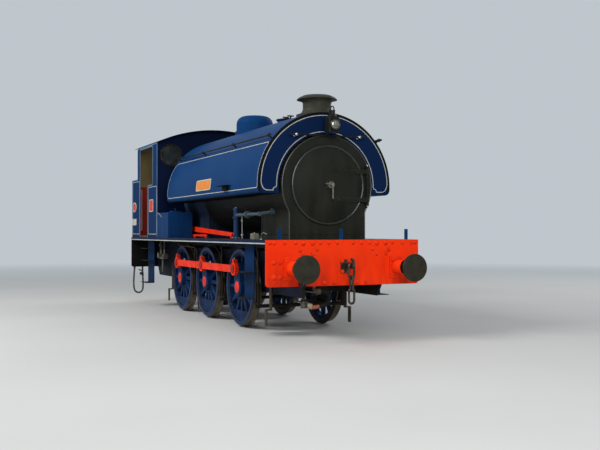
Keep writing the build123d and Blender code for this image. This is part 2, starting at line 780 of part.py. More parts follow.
write(door, "smokebox_door")

# Hinge rod and its lugs, on the smokebox front
with BuildPart() as hinge_rod:
    bar(
        (hinge_x, hinge_y, boiler_z - hinge_rise - 90),
        (hinge_x, hinge_y, boiler_z + hinge_rise + 90),
        hinge_pin_r,
    )
    for rise in (-1, 1):
        middle = boiler_z + rise * (hinge_rise + 70)
        block((smokebox_front_x, hinge_y - 22, middle - 20), (hinge_x + 20, hinge_y + 22, middle + 20))
write(hinge_rod, "door_hinge_rod")

# Dart: the spindle through the door's middle, with its two handles
dart_x = dish_x + dish_r
short_handle, long_handle, handle_r = 105.0, 215.0, 12.0
with BuildPart() as dart:
    bar((smokebox_front_x - 60, 0, boiler_z), (dart_x + 90, 0, boiler_z), 24 - shaft_gap)
    bar((dart_x + 3, 0, boiler_z), (dart_x + 30, 0, boiler_z), 52)
    bar((dart_x + 45, 20, boiler_z + 2), (dart_x + 45, -short_handle, boiler_z + 16), handle_r)
    bar((dart_x + 80, 0, boiler_z + 20), (dart_x + 80, 0, boiler_z - long_handle), handle_r)
write(dart, "door_dart")

# Chimney: a flared base on the tank, a short barrel and a broad cap, and a liner down to the smokebox
base_r = 330.0
neck_r = 225.0
lip_r, lip_z = 228.0, tank_top + chimney_height
cap_r, cap_z = 322.0, lip_z - 63.0
neck_low, neck_high = lip_z - 198.0, lip_z - 118.0
base_z = boiler_z + math.sqrt(tank_r**2 - base_r**2) - 20
liner_foot = boiler_z + math.sqrt(smokebox_r**2 - liner_r**2) - 6
with BuildPart() as chimney:
    with BuildSketch(Plane((chimney_x, 0, 0), x_dir=(1, 0, 0), z_dir=(0, -1, 0))):
        with BuildLine():
            Line((flue_r, base_z), (base_r, base_z))
            Line((base_r, base_z), (base_r, tank_top - 8))
            ThreePointArc((base_r, tank_top - 8), (neck_r + 32, tank_top + 22), (neck_r, neck_low))
            Line((neck_r, neck_low), (neck_r, neck_high))
            ThreePointArc((neck_r, neck_high), (neck_r + 20, cap_z - 22), (cap_r, cap_z))
            ThreePointArc((cap_r, cap_z), (cap_r - 22, cap_z + 24), (lip_r + 34, lip_z - 18))
            Line((lip_r + 34, lip_z - 18), (lip_r, lip_z))
            Line((lip_r, lip_z), (flue_r, lip_z))
            Line((flue_r, lip_z), (flue_r, base_z))
        make_face()
    revolve(axis=Axis((chimney_x, 0, 0), (0, 0, 1)))
    with BuildSketch(cross_plane(chimney_x - 2 * base_r)):
        with Locations((0, boiler_z)):
            Circle(tank_r)
    extrude(amount=4 * base_r, mode=Mode.SUBTRACT)
    with BuildSketch(Plane.XY.offset(liner_foot)):
        with Locations((chimney_x, 0)):
            Circle(liner_r)
            Circle(flue_r, mode=Mode.SUBTRACT)
    extrude(amount=tank_top + 20 - liner_foot)
write(chimney, "chimney")

# Boiler barrel, with its bands and the half rings on them that carry the tank
band_proud = 4.0
with BuildPart() as barrel:
    with BuildSketch(cross_plane(firebox_front_x)):
        with Locations((0, boiler_z)):
            Circle(boiler_r)
    extrude(amount=smokebox_back_x - firebox_front_x)
    for x in (firebox_front_x + 100, 900.0, smokebox_back_x - 110):
        with BuildSketch(cross_plane(x)):
            with Locations((0, boiler_z)):
                Circle(boiler_r + band_proud)
        extrude(amount=bearer_width)
        with BuildSketch(cross_plane(x)):
            with Locations((0, boiler_z)):
                Circle(tank_inner_r)
                Circle(boiler_r - 2, mode=Mode.SUBTRACT)
            with Locations((0, tank_bottom + 20 - tank_r)):
                Rectangle(2 * tank_r, 2 * tank_r, mode=Mode.SUBTRACT)
        extrude(amount=bearer_width)
write(barrel, "boiler_barrel")

# Firebox: a round top on straight sides that go down between the frames
with BuildPart() as firebox:
    with BuildSketch(cross_plane(firebox_back_x)):
        with Locations((0, boiler_z)):
            Circle(boiler_r)
        with Locations((0, (firebox_foot + boiler_z) / 2)):
            Rectangle(2 * firebox_half, boiler_z - firebox_foot)
    extrude(amount=firebox_front_x - firebox_back_x)
write(firebox, "firebox")

# Ashpan, deep ahead of the trailing axle and shallow over it
pan_half = 540.0
with BuildPart() as ashpan:
    with BuildSketch(side_plane(-pan_half)):
        with BuildLine():
            Polyline(
                (firebox_front_x - 20, firebox_foot),
                (firebox_front_x - 20, rail + 560),
                (axle_table["trailing"] + 190, rail + 560),
                (axle_table["trailing"] + 130, axle_z + axle_r + 70),
                (firebox_back_x + 20, axle_z + axle_r + 70),
                (firebox_back_x + 20, firebox_foot),
                close=True,
            )
        make_face()
    extrude(amount=-2 * pan_half)
write(ashpan, "ashpan")

# Saddle tank: round over the boiler and flat below, with a wider mouth round the smokebox
tank_corner = 85.0
tank_edge = 14.0
with BuildPart() as tank:
    with BuildSketch(cross_plane(tank_back_x)):
        with Locations((0, boiler_z)):
            Circle(tank_r)
        with Locations((0, tank_bottom - tank_r)):
            Rectangle(2 * tank_r + 20, 2 * tank_r, mode=Mode.SUBTRACT)
    extrude(amount=tank_front_x - tank_back_x)
    fillet(tank.edges().filter_by(Axis.X), tank_corner)
    fillet(tank.faces().sort_by(Axis.X)[-1].edges() + tank.faces().sort_by(Axis.X)[0].edges(), tank_edge)
    with BuildSketch(cross_plane(tank_back_x)):
        with Locations((0, boiler_z)):
            Circle(tank_inner_r)
    extrude(amount=tank_front_x - tank_back_x, mode=Mode.SUBTRACT)
    with BuildSketch(cross_plane(smokebox_back_x - 30)):
        with Locations((0, boiler_z)):
            Circle(tank_mouth_r)
    extrude(amount=tank_front_x - smokebox_back_x + 30, mode=Mode.SUBTRACT)
    with BuildSketch(Plane.XY.offset(boiler_z)):
        with Locations((chimney_x, 0)):
            Circle(liner_r)
    extrude(amount=tank_r + 10, mode=Mode.SUBTRACT)
    with BuildSketch(Plane.XY.offset(tank_top - filler_depth)):
        with Locations((filler_x, 0)):
            Circle(filler_bore_r)
    extrude(amount=filler_depth + 10, mode=Mode.SUBTRACT)
write(tank, "saddle_tank")

# Filler neck on the tank, with the lugs of its lid
neck_top = tank_top + 34.0
lid_r = 200.0
lid_thick = 22.0
lid_pin_x = filler_x - lid_r - 34
lid_pin_z = neck_top + 12
lid_pin_r = 12.0
with BuildPart() as filler:
    with BuildSketch(Plane.XY.offset(tank_top - 60)):
        with Locations((filler_x, 0)):
            Circle(filler_r + 14)
            Circle(filler_bore_r, mode=Mode.SUBTRACT)
    extrude(amount=neck_top - tank_top + 60)
    for y in (-70, 70):
        block((lid_pin_x - 18, y - 12, tank_top - 30), (lid_pin_x + 18, y + 12, lid_pin_z + 18))
    with BuildSketch(cross_plane(filler_x - 2 * lid_r)):
        with Locations((0, boiler_z)):
            Circle(tank_r)
    extrude(amount=4 * lid_r, mode=Mode.SUBTRACT)
    bar((lid_pin_x, -90, lid_pin_z), (lid_pin_x, 90, lid_pin_z), lid_pin_r)
write(filler, "tank_filler")
with BuildPart() as lid:
    with BuildSketch(Plane.XY.offset(neck_top + seat_gap)):
        with Locations((filler_x, 0)):
            Circle(lid_r)
        with Locations(((filler_x + lid_pin_x) / 2, 0)):
            Rectangle(filler_x - lid_pin_x, 80)
    extrude(amount=lid_thick)
    with BuildSketch(side_plane(40)):
        with Locations((lid_pin_x, lid_pin_z)):
            Circle(lid_pin_r + 12)
    extrude(amount=80)
    for x in (filler_x - 90, filler_x + 110):
        bar((x, 0, neck_top + lid_thick - 2), (x, 0, neck_top + 75), 14)
        bar((x, -55, neck_top + 72), (x, 55, neck_top + 72), 12)
    with BuildSketch(side_plane(100)):
        with Locations((lid_pin_x, lid_pin_z)):
            Circle(lid_pin_r + shaft_gap)
    extrude(amount=200, mode=Mode.SUBTRACT)
    block(
        (lid_pin_x - 30, -40, neck_top - 40),
        (lid_pin_x + 30, 40, neck_top - 12),
        mode=Mode.SUBTRACT,
    )
write(lid, "filler_lid")

# Dome, seated on the tank
dome_r = 340.0
dome_top = tank_top + 295.0
dome_round = 150.0
with BuildPart() as dome:
    with BuildSketch(Plane.XY.offset(boiler_z + tank_r - 90)):
        with Locations((dome_x, 0)):
            Circle(dome_r)
    extrude(amount=dome_top - tank_top + 90)
    fillet(dome.faces().sort_by(Axis.Z)[-1].edges(), dome_round)
    with BuildSketch(Plane.XY.offset(boiler_z + tank_r - 90)):
        with Locations((dome_x, 0)):
            Circle(dome_r + 26)
    extrude(amount=90 + 8)
    with BuildSketch(cross_plane(dome_x - 2 * dome_r)):
        with Locations((0, boiler_z)):
            Circle(tank_r)
    extrude(amount=4 * dome_r, mode=Mode.SUBTRACT)
write(dome, "dome")

# Safety valves and whistle, on the firebox between the tank and the cab
valve_x = cab_front_x + 150.0
firebox_top = boiler_z + boiler_r
with BuildPart() as mountings:
    with Locations((valve_x, 0, firebox_top - 12)):
        Cylinder(125, 72, align=(Align.CENTER, Align.CENTER, Align.MIN))
    for y in (-62, 62):
        bar((valve_x, y, firebox_top + 50), (valve_x, y, firebox_top + 270), 42)
        bar((valve_x, y, firebox_top + 270), (valve_x, y, firebox_top + 300), 54)
    bar((valve_x, 290, firebox_top - 80), (valve_x, 290, firebox_top + 190), 16)
    bar((valve_x, 290, firebox_top + 190), (valve_x, 290, firebox_top + 340), 38)
    with BuildSketch(cross_plane(valve_x - 150)):
        with Locations((0, boiler_z)):
            Circle(boiler_r)
    extrude(amount=300, mode=Mode.SUBTRACT)
write(mountings, "boiler_mountings")

# Cab roof, one arc across
roof_rise = roof_top - roof_eave
roof_r = (roof_half**2 + roof_rise**2) / (2 * roof_rise)
roof_centre_z = roof_top - roof_r
with BuildPart() as roof:
    with BuildSketch(cross_plane(roof_rear_x)):
        with Locations((0, roof_centre_z)):
            Circle(roof_r)
            Circle(roof_r - sheet, mode=Mode.SUBTRACT)
        with Locations((0, roof_top)):
            Rectangle(2 * roof_half, roof_half, mode=Mode.INTERSECT)
    extrude(amount=roof_front_x - roof_rear_x)
write(roof, "cab_roof")


def under_roof(high_x, low_x):
    """The solid space under the roof sheet between two X, to trim cab plates to."""
    with BuildPart() as made:
        with BuildSketch(cross_plane(low_x)):
            with Locations((0, roof_centre_z)):
                Circle(roof_r - sheet)
        extrude(amount=high_x - low_x)
    return made.part


# Cab front, cut for the firebox, the reach rod and two round windows
reach_y = 682.0
reach_slot = (56.0, 150.0)  # width and height
reach_slot_lift = 13.0
rod_front_x = 1110.0
rod_slope = -0.0463
reach_half = 11.0


def reach_z(x):
    """Centre height of the reach rod at x."""
    return rail + 1521.0 + rod_slope * (x - rod_front_x)


with BuildPart() as cab_front:
    with BuildSketch(cross_plane(cab_front_x - sheet)):
        with Locations((0, (deck_top + roof_top) / 2)):
            Rectangle(2 * cab_half, roof_top - deck_top)
        with Locations((0, boiler_z)):
            Circle(boiler_r, mode=Mode.SUBTRACT)
        with Locations((0, boiler_z / 2)):
            Rectangle(2 * firebox_half, boiler_z, mode=Mode.SUBTRACT)
        with Locations((-spectacle_y, spectacle_z), (spectacle_y, spectacle_z)):
            Circle(spectacle_r, mode=Mode.SUBTRACT)
        with Locations((-reach_y, reach_z(cab_front_x) + reach_slot_lift)):
            Rectangle(*reach_slot, mode=Mode.SUBTRACT)
    extrude(amount=sheet)
    add(under_roof(cab_front_x + sheet, cab_front_x - 2 * sheet), mode=Mode.INTERSECT)
write(cab_front, "cab_front")

# Cab sides: one sheet a side from the cab front to the bunker's rear
# The doorway is open to the floor, and the opening above the waist runs forward of it.
corner_r = 55.0
for side, name in ((-1, "right"), (1, "left")):
    with BuildPart() as cab_side:
        with BuildSketch(side_plane(side * (cab_half - sheet))) as outline_sketch:
            with BuildLine():
                Polyline(
                    (cab_front_x - sheet, deck_top),
                    (cab_front_x - sheet, roof_top),
                    (cab_rear_x, roof_top),
                    (cab_rear_x, bunker_top),
                    (bunker_rear_x, bunker_top),
                    (bunker_rear_x, deck_top),
                    (door_rear_x, deck_top),
                    (door_rear_x, window_top),
                    (window_front_x, window_top),
                    (window_front_x, waist_z),
                    (door_front_x, waist_z),
                    (door_front_x, deck_top),
                    close=True,
                )
            make_face()
            corners = outline_sketch.vertices().filter_by_position(Axis.X, door_rear_x - 1, window_front_x + 1)
            fillet(corners.filter_by_position(Axis.Y, waist_z - 1, window_top + 1), corner_r)
        extrude(amount=-side * sheet)
        add(under_roof(cab_front_x, bunker_rear_x - sheet), mode=Mode.INTERSECT)
    write(cab_side, f"cab_side_{name}")

# Cab rear, with two windows and the hole that the coal is shovelled through
coal_hole = (560.0, 420.0)
floor_top = deck_top + floor_thick
inside_half = cab_half - sheet
with BuildPart() as cab_rear:
    with BuildSketch(cross_plane(cab_rear_x)):
        with Locations((0, (deck_top + roof_top) / 2)):
            Rectangle(2 * inside_half, roof_top - deck_top)
        with Locations((-rear_window_y, rear_window_z), (rear_window_y, rear_window_z)):
            Rectangle(*rear_window, mode=Mode.SUBTRACT)
        with Locations((0, floor_top + 60 + coal_hole[1] / 2)):
            Rectangle(*coal_hole, mode=Mode.SUBTRACT)
    extrude(amount=-sheet)
    add(under_roof(cab_rear_x + sheet, cab_rear_x - 2 * sheet), mode=Mode.INTERSECT)
write(cab_rear, "cab_rear")

# Bunker back
with BuildPart() as bunker_back:
    block((bunker_rear_x, -inside_half, deck_top), (bunker_rear_x + sheet, inside_half, bunker_top))
write(bunker_back, "bunker_back")

# Cab floor, round the back of the firebox
with BuildPart() as cab_floor:
    with BuildSketch(Plane.XY.offset(deck_top)):
        with Locations(((cab_front_x - sheet + cab_rear_x) / 2, 0)):
            Rectangle(cab_front_x - sheet - cab_rear_x, 2 * inside_half)
        with Locations(((cab_front_x + firebox_back_x) / 2 - 5, 0)):
            Rectangle(cab_front_x - firebox_back_x + 10, 2 * firebox_half + 10, mode=Mode.SUBTRACT)
    extrude(amount=floor_thick)
write(cab_floor, "cab_floor")

# Window glass behind the plates, and the frames outside them
glass_thick = 6.0
glass_lap = 12.0
frame_lap = 42.0
frame_proud = 16.0
with BuildPart() as glass:
    with BuildSketch(cross_plane(cab_front_x - sheet)):
        with Locations((-spectacle_y, spectacle_z), (spectacle_y, spectacle_z)):
            Circle(spectacle_r + glass_lap)
    extrude(amount=-glass_thick)
    with BuildSketch(cross_plane(cab_rear_x)):
        with Locations((-rear_window_y, rear_window_z), (rear_window_y, rear_window_z)):
            Rectangle(rear_window[0] + 2 * glass_lap, rear_window[1] + 2 * glass_lap)
    extrude(amount=glass_thick)
write(glass, "window_glass")
with BuildPart() as window_frames:
    with BuildSketch(cross_plane(cab_front_x)):
        with Locations((-spectacle_y, spectacle_z), (spectacle_y, spectacle_z)):
            Circle(spectacle_r + frame_lap)
            Circle(spectacle_r, mode=Mode.SUBTRACT)
    extrude(amount=frame_proud)
    with BuildSketch(cross_plane(cab_rear_x - sheet)):
        with Locations((-rear_window_y, rear_window_z), (rear_window_y, rear_window_z)):
            Rectangle(rear_window[0] + frame_lap, rear_window[1] + frame_lap)
            Rectangle(*rear_window, mode=Mode.SUBTRACT)
    extrude(amount=-frame_proud)
write(window_frames, "window_frames")

# Cab fittings: on the backhead a fire door, regulator and gauge glasses; on the floor the reversing
# lever and the handbrake column
backhead = firebox_back_x
lever_x = cab_front_x - 550.0
brake_y = cab_half - 350.0
with BuildPart() as fittings:
    block((backhead - 55, -230, rail + 1700), (backhead, 230, rail + 2060))
    bar((backhead, 0, rail + 2520), (backhead - 90, 0, rail + 2520), 45)
    bar((backhead - 75, -40, rail + 2510), (backhead - 75, 360, rail + 2600), 16)
    for y in (-250, 250):
        bar((backhead, y, rail + 2320), (backhead - 60, y, rail + 2320), 20)
        bar((backhead, y, rail + 2620), (backhead - 60, y, rail + 2620), 20)
        bar((backhead - 60, y, rail + 2290), (backhead - 60, y, rail + 2650), 16)
    block((lever_x - 260, -reach_y - 38, floor_top), (lever_x + 150, -reach_y - 18, floor_top + 260))
    bar((lever_x, -reach_y, floor_top + 8), (lever_x - 120, -reach_y, floor_top + 900), 18)
    block((lever_x - 40, -reach_y - 18, floor_top), (lever_x + 40, -reach_y + 18, floor_top + 60))
    bar((lever_x + 60, brake_y, floor_top), (lever_x + 60, brake_y, floor_top + 900), 34)
    bar((lever_x - 90, brake_y, floor_top + 890), (lever_x + 110, brake_y, floor_top + 890), 16)
write(fittings, "cab_fittings")

# Sandboxes, on the running plate ahead of the cab
sandbox_front_x = cab_front_x + 800.0
sandbox_inner = reach_y + 74.0
sandbox_top = rail + 1957.0
with BuildPart() as sandboxes:
    block((cab_front_x, -cab_half, deck_top), (sandbox_front_x, -sandbox_inner, sandbox_top))
    fillet(sandboxes.edges().filter_by(Axis.X).group_by(Axis.Z)[-1], 24)
    block(
        (sandbox_front_x - 420, -cab_half + 140, sandbox_top - 1),
        (sandbox_front_x - 220, -cab_half + 340, sandbox_top + 26),
    )
    mirror(about=Plane.XZ)
write(sandboxes, "sandboxes")

# Reach rod: from the reversing lever forward through the cab front to the weighshaft arm
rod_rear_x = cab_front_x - 330.0
rear_half, front_half = 57.0, 34.0  # the rod's half depth at its ends
drain_front_x = sandbox_front_x + 820.0
drain_y = reach_y + 40.0
drain_z = (deck_top + 30, deck_top + 68)
with BuildPart() as reach_rod:
    with BuildSketch(side_plane(-reach_y + reach_half)):
        with BuildLine():
            Polyline(
                (rod_rear_x, reach_z(rod_rear_x) - rear_half),
                (rod_front_x, reach_z(rod_front_x) - front_half),
                (rod_front_x, reach_z(rod_front_x) + front_half),
                (rod_rear_x, reach_z(rod_rear_x) + rear_half),
                close=True,
            )
        make_face()
    extrude(amount=2 * reach_half)
    # the arm's eye, on a bracket that stands on the running plate
    bar((rod_front_x, -reach_y + 20, reach_z(rod_front_x)), (rod_front_x, -reach_y - 40, reach_z(rod_front_x)), 30)
    block(
        (rod_front_x - 24, -reach_y - 44, deck_top),
        (rod_front_x + 24, -reach_y - 20, reach_z(rod_front_x)),
    )
    # the drain cocks' rod, low on two feet
    block((cab_front_x + seat_gap, -drain_y - 8, drain_z[0]), (drain_front_x, -drain_y + 8, drain_z[1]))
    for x in (sandbox_front_x + 60, drain_front_x - 60):
        block((x - 20, -drain_y - 14, deck_top), (x + 20, -drain_y + 14, drain_z[0] + 8))
write(reach_rod, "reach_rod")

# Handrails
# On each side of the tank one rail on pillars, one across its front, and two uprights at each doorway.
rail_r = 16.0
pillar_r = 13.0
knob_r = 26.0
rail_off = 69.0  # from the tank's skin to the middle of a rail
tank_rail_y = tank_r - 185.0
tank_rail_z = boiler_z + math.sqrt((tank_r + rail_off) ** 2 - tank_rail_y**2)
tank_rail_x = (tank_back_x + 140, tank_front_x + 45)
pillar_xs = (tank_back_x + 210, dome_x - 174, filler_x - 120, tank_front_x - 30)
front_rail_z = tank_top - 375.0
front_rail_x = tank_front_x + 80.0
front_rail_half = 640.0
grip_y = cab_half - 45.0
grip_low, grip_high = deck_top + 160.0, rail + 2480.0
with BuildPart() as handrails:
    tilt = math.atan2(tank_rail_z - boiler_z, tank_rail_y)
    for side in (-1, 1):
        bar((tank_rail_x[0], side * tank_rail_y, tank_rail_z), (tank_rail_x[1], side * tank_rail_y, tank_rail_z), rail_r)
        for x in pillar_xs:
            foot = (x, side * tank_r * math.cos(tilt), boiler_z + tank_r * math.sin(tilt))
            bar(foot, (x, side * tank_rail_y, tank_rail_z), pillar_r)
            bar((x - 22, side * tank_rail_y, tank_rail_z), (x + 22, side * tank_rail_y, tank_rail_z), knob_r)
    bar((front_rail_x, -front_rail_half, front_rail_z), (front_rail_x, front_rail_half, front_rail_z), 14)
    for y in (-540, 540):
        bar((tank_front_x, y, front_rail_z), (front_rail_x, y, front_rail_z), 12)
        bar((front_rail_x, y - 20, front_rail_z), (front_rail_x, y + 20, front_rail_z), 22)
    for side in (-1, 1):
        for x in (door_front_x + 60, door_rear_x - 60):
            for z in (grip_low, grip_high):
                bar((x, side * inside_half, z), (x, side * grip_y, z), 11)
            bar((x, side * grip_y, grip_low - 15), (x, side * grip_y, grip_high + 15), 14)
write(handrails, "handrails")

# Steps: hanging plates with treads below the running plate, and a small tread on each side of the tank
step_plate_y = beam_half_width - 167.0
step_thick = 10.0
tread_out = beam_half_width - 3.0
step_table = (  # (back X, front X, plate foot Z, heights of the treads)
    (beam_face_x - 1287, beam_face_x - 887, rail + 545.0, (rail + 954.0, rail + 551.0)),
    (door_rear_x + 100, door_front_x - 35, rail + 480.0, (rail + 1215.0, rail + 960.0, rail + 486.0)),
)
tank_step_x = (filler_x - 120, filler_x + 280)
tank_step_z = rail + 2330.0
tank_step_out = beam_half_width - 27.0
with BuildPart() as steps:
    for back, front, foot, treads in step_table:
        block((back, -step_plate_y, foot), (front, -step_plate_y + step_thick, deck_under))
        for z in treads:
            block((back, -tread_out, z - step_thick / 2), (front, -step_plate_y, z + step_thick / 2))
    block((tank_step_x[0], -tank_step_out, tank_step_z - 12), (tank_step_x[1], -tank_r + 20, tank_step_z))
    middle_x = (tank_step_x[0] + tank_step_x[1]) / 2
    block((middle_x - 90, -tank_r - 45, tank_step_z - 90), (middle_x + 90, -tank_r + 20, tank_step_z - 12))
    with BuildSketch(cross_plane(tank_step_x[0] - 10)):
        with Locations((0, boiler_z)):
            Circle(tank_r)
    extrude(amount=tank_step_x[1] - tank_step_x[0] + 20, mode=Mode.SUBTRACT)
    mirror(about=Plane.XZ)
write(steps, "steps")

# Lamp irons: three on each beam, and one on the tank front
iron_half = 28.0
outer_iron_y = beam_half_width - 215.0
iron_plate = 10.0
lamp_iron_z = tank_top - 345.0
lamp_x = tank_front_x + 210.0
lamp_iron_reach = lamp_x + 70.0
with BuildPart() as lamp_irons:
    for end in (-1, 1):
        for y in (-outer_iron_y, -60.0, outer_iron_y):
            inner, outer = end * (beam_face_x - iron_plate), end * beam_face_x
            block((inner, y - iron_half, beam_top), (outer, y + iron_half, beam_top + 160))
    block(
        (tank_front_x, -iron_half, lamp_iron_z - iron_plate),
        (lamp_iron_reach, iron_half, lamp_iron_z),
    )
    block(
        (tank_front_x, -iron_half, lamp_iron_z),
        (tank_front_x + iron_plate, iron_half, lamp_iron_z + 120),
    )
write(lamp_irons, "lamp_irons")

# Headlamp, standing on the tank's iron
lamp_half = 88.0
lamp_body_top = lamp_iron_z + 250.0
lens_z = lamp_iron_z + 118.0
with BuildPart() as headlamp:
    block((lamp_x - lamp_half, -lamp_half, lamp_iron_z), (lamp_x + lamp_half - 10, lamp_half, lamp_body_top))
    fillet(headlamp.edges().filter_by(Axis.Z), 22)
    with Locations((lamp_x, 0, lamp_body_top)):
        Cone(78, 46, 40, align=(Align.CENTER, Align.CENTER, Align.MIN))
    bar((lamp_x, 0, lamp_body_top + 30), (lamp_x, 0, lamp_body_top + 95), 46)
    with BuildSketch(cross_plane(lamp_x + lamp_half - 12)):
        with Locations((0, lens_z)):
            Circle(76)
    extrude(amount=46)
    with BuildSketch(side_plane(7)):
        with Locations((lamp_x, lamp_body_top + 95)):
            Circle(70)
            Circle(58, mode=Mode.SUBTRACT)
            with Locations((0, -90)):
                Rectangle(200, 180, mode=Mode.SUBTRACT)
    extrude(amount=14)
    for x in (-64, 64):
        block((lamp_x + x - 6, -7, lamp_body_top - 2), (lamp_x + x + 6, 7, lamp_body_top + 96))
write(headlamp, "headlamp")

# Ejector pipe: an upright on the running plate, then forward and in to the smokebox side
pipe_x, pipe_y = smokebox_back_x - 485, beam_half_width - 360
pipe_r, thin_r = 41.0, 26.0
pipe_top = rail + 1962.0
thin_z = rail + 1850.0
elbow_x, elbow_rise = smokebox_back_x + 560, 40.0
collar_x = (smokebox_back_x + 30, smokebox_back_x + 72)
collar_r = 58.0
with BuildPart() as ejector:
    bar((pipe_x, -pipe_y, deck_top), (pipe_x, -pipe_y, pipe_top), pipe_r)
    bar((pipe_x, -pipe_y, deck_top), (pipe_x, -pipe_y, deck_top + 16), pipe_r + 32)
    bar((pipe_x, -pipe_y, thin_z - 52), (pipe_x, -pipe_y, thin_z - 30), pipe_r + 16)
    bar((pipe_x, -pipe_y, pipe_top - 36), (pipe_x, -pipe_y, pipe_top + 6), pipe_r + 8)
    bar((pipe_x, -pipe_y, thin_z), (elbow_x, -pipe_y, thin_z), thin_r)
    bar((collar_x[0], -pipe_y, thin_z), (collar_x[1], -pipe_y, thin_z), collar_r)
    bar((elbow_x - thin_r, -pipe_y, thin_z), (elbow_x + thin_r, -pipe_y, thin_z), thin_r + 8)
    bar((elbow_x, -pipe_y, thin_z), (elbow_x, -saddle_half - 20, thin_z + elbow_rise), thin_r)
    bar((elbow_x, -saddle_half - 54, thin_z + elbow_rise), (elbow_x, -saddle_half, thin_z + elbow_rise), thin_r + 24)
    with BuildSketch(cross_plane(smokebox_back_x)):
        with Locations((0, boiler_z)):
            Circle(smokebox_r)
    extrude(amount=smokebox_length, mode=Mode.SUBTRACT)
    add(smokebox.part, mode=Mode.SUBTRACT)
write(ejector, "ejector_pipe")

# Lubricator, on the running plate beside the smokebox
lubricator_x = (smokebox_back_x + 430, smokebox_back_x + 600)
lubricator_y = (beam_half_width - 255, beam_half_width - 345)
lubricator_top = deck_top + 86
with BuildPart() as lubricator:
    block((lubricator_x[0], -lubricator_y[0], deck_top), (lubricator_x[1], -lubricator_y[1], lubricator_top))
    fillet(lubricator.edges().filter_by(Axis.Z), 14)
    block(
        (lubricator_x[0] + 20, -lubricator_y[0] + 12, lubricator_top - 1),
        (lubricator_x[1] - 20, -lubricator_y[1] - 12, lubricator_top + 8),
    )
write(lubricator, "lubricator")

# Injectors, under the running plate ahead of the cab steps
injector_x, injector_y, injector_z = door_front_x + 285, beam_half_width - 280, rail + 1060.0
with BuildPart() as injectors:
    bar((injector_x - 210, -injector_y, injector_z), (injector_x + 190, -injector_y, injector_z), 58)
    bar((injector_x - 150, -injector_y, injector_z), (injector_x - 150, -injector_y, deck_under), 28)
    bar((injector_x + 110, -injector_y, injector_z), (injector_x + 110, -injector_y, deck_under), 24)
    bar((injector_x - 20, -injector_y, injector_z), (injector_x - 20, -injector_y, injector_z - 330), 22)
    bar((injector_x - 20, -injector_y - 95, injector_z + 20), (injector_x - 20, -injector_y, injector_z + 20), 18)
    bar((injector_x - 20, -injector_y - 110, injector_z + 20), (injector_x - 20, -injector_y - 90, injector_z + 20), 58)
    bar((injector_x - 150, -injector_y, injector_z + 200), (injector_x - 150, -injector_y, injector_z + 260), 52)
    mirror(about=Plane.XZ)
write(injectors, "injectors")

# Heating hoses, each held at both ends: the front one bent round under its beam from its pipe to a
# coupling head, the rear one hanging in a loop below its beam
hose_x = beam_face_x + 63.0
hose_table = {  # name: (end, radius, its points in (Y, Z))
    "front_hose": (
        1,
        36.0,
        (
            (-438.0, rail + 704.0),
            (-365.0, rail + 703.0),
            (-302.0, rail + 663.0),
            (-285.0, rail + 593.0),
            (-321.0, rail + 531.0),
            (-389.0, rail + 499.0),
            (-460.0, rail + 492.0),
        ),
    ),
    "rear_hose": (
        -1,
        20.0,
        (
            (-1176.0, rail + 732.0),
            (-1190.0, rail + 560.0),
            (-1196.0, rail + 372.0),
            (-1177.0, rail + 248.0),
            (-1135.0, rail + 201.0),
            (-1079.0, rail + 185.0),
            (-1023.0, rail + 201.0),
            (-985.0, rail + 250.0),
            (-976.0, rail + 372.0),
            (-980.0, rail + 475.0),
            (-986.0, rail + 572.0),
        ),
    ),
}
bend_share = 0.45  # of the shorter run beside a bend


def bend_radii(points):
    """The radius for each bend of a route, as large as its two runs allow."""
    radii = []
    for before, here, after in zip(points, points[1:], points[2:]):
        first = (here[0] - before[0], here[1] - before[1])
        second = (after[0] - here[0], after[1] - here[1])
        turn = math.radians(Vector(*first).get_angle(Vector(*second)))
        shorter = min(math.hypot(*first), math.hypot(*second))
        radii.append(bend_share * shorter / math.tan(turn / 2))
    return radii


for name, (end, hose_r, points) in hose_table.items():
    radii = bend_radii(points)
    with BuildPart() as hose:
        with BuildLine(Plane((end * hose_x, 0, 0), x_dir=(0, 1, 0), z_dir=(1, 0, 0))) as route:
            FilletPolyline(*points, radius=radii)
        with BuildSketch(Plane(route.line @ 0, z_dir=route.line % 0)):
            Circle(hose_r)
        sweep(path=route.line)
    write(hose, name)
    run = route.wire().length
    swept = hose.part.volume / (math.pi * hose_r**2)
    print(name, "radii", [round(radius) for radius in radii], "length", round(run), "swept", round(swept))

# Hose fittings: at the front a sleeve, a coupling head and a cock on its upright pipe, and the pipe's
# elbow; at the rear a cock under the beam and the eye that the loop hangs from


def past_end(here, before, reach):
    """The point a reach past the end of a route, in line with its last run."""
    run = math.dist(here, before)
    return tuple(a + (a - b) * reach / run for a, b in zip(here, before))


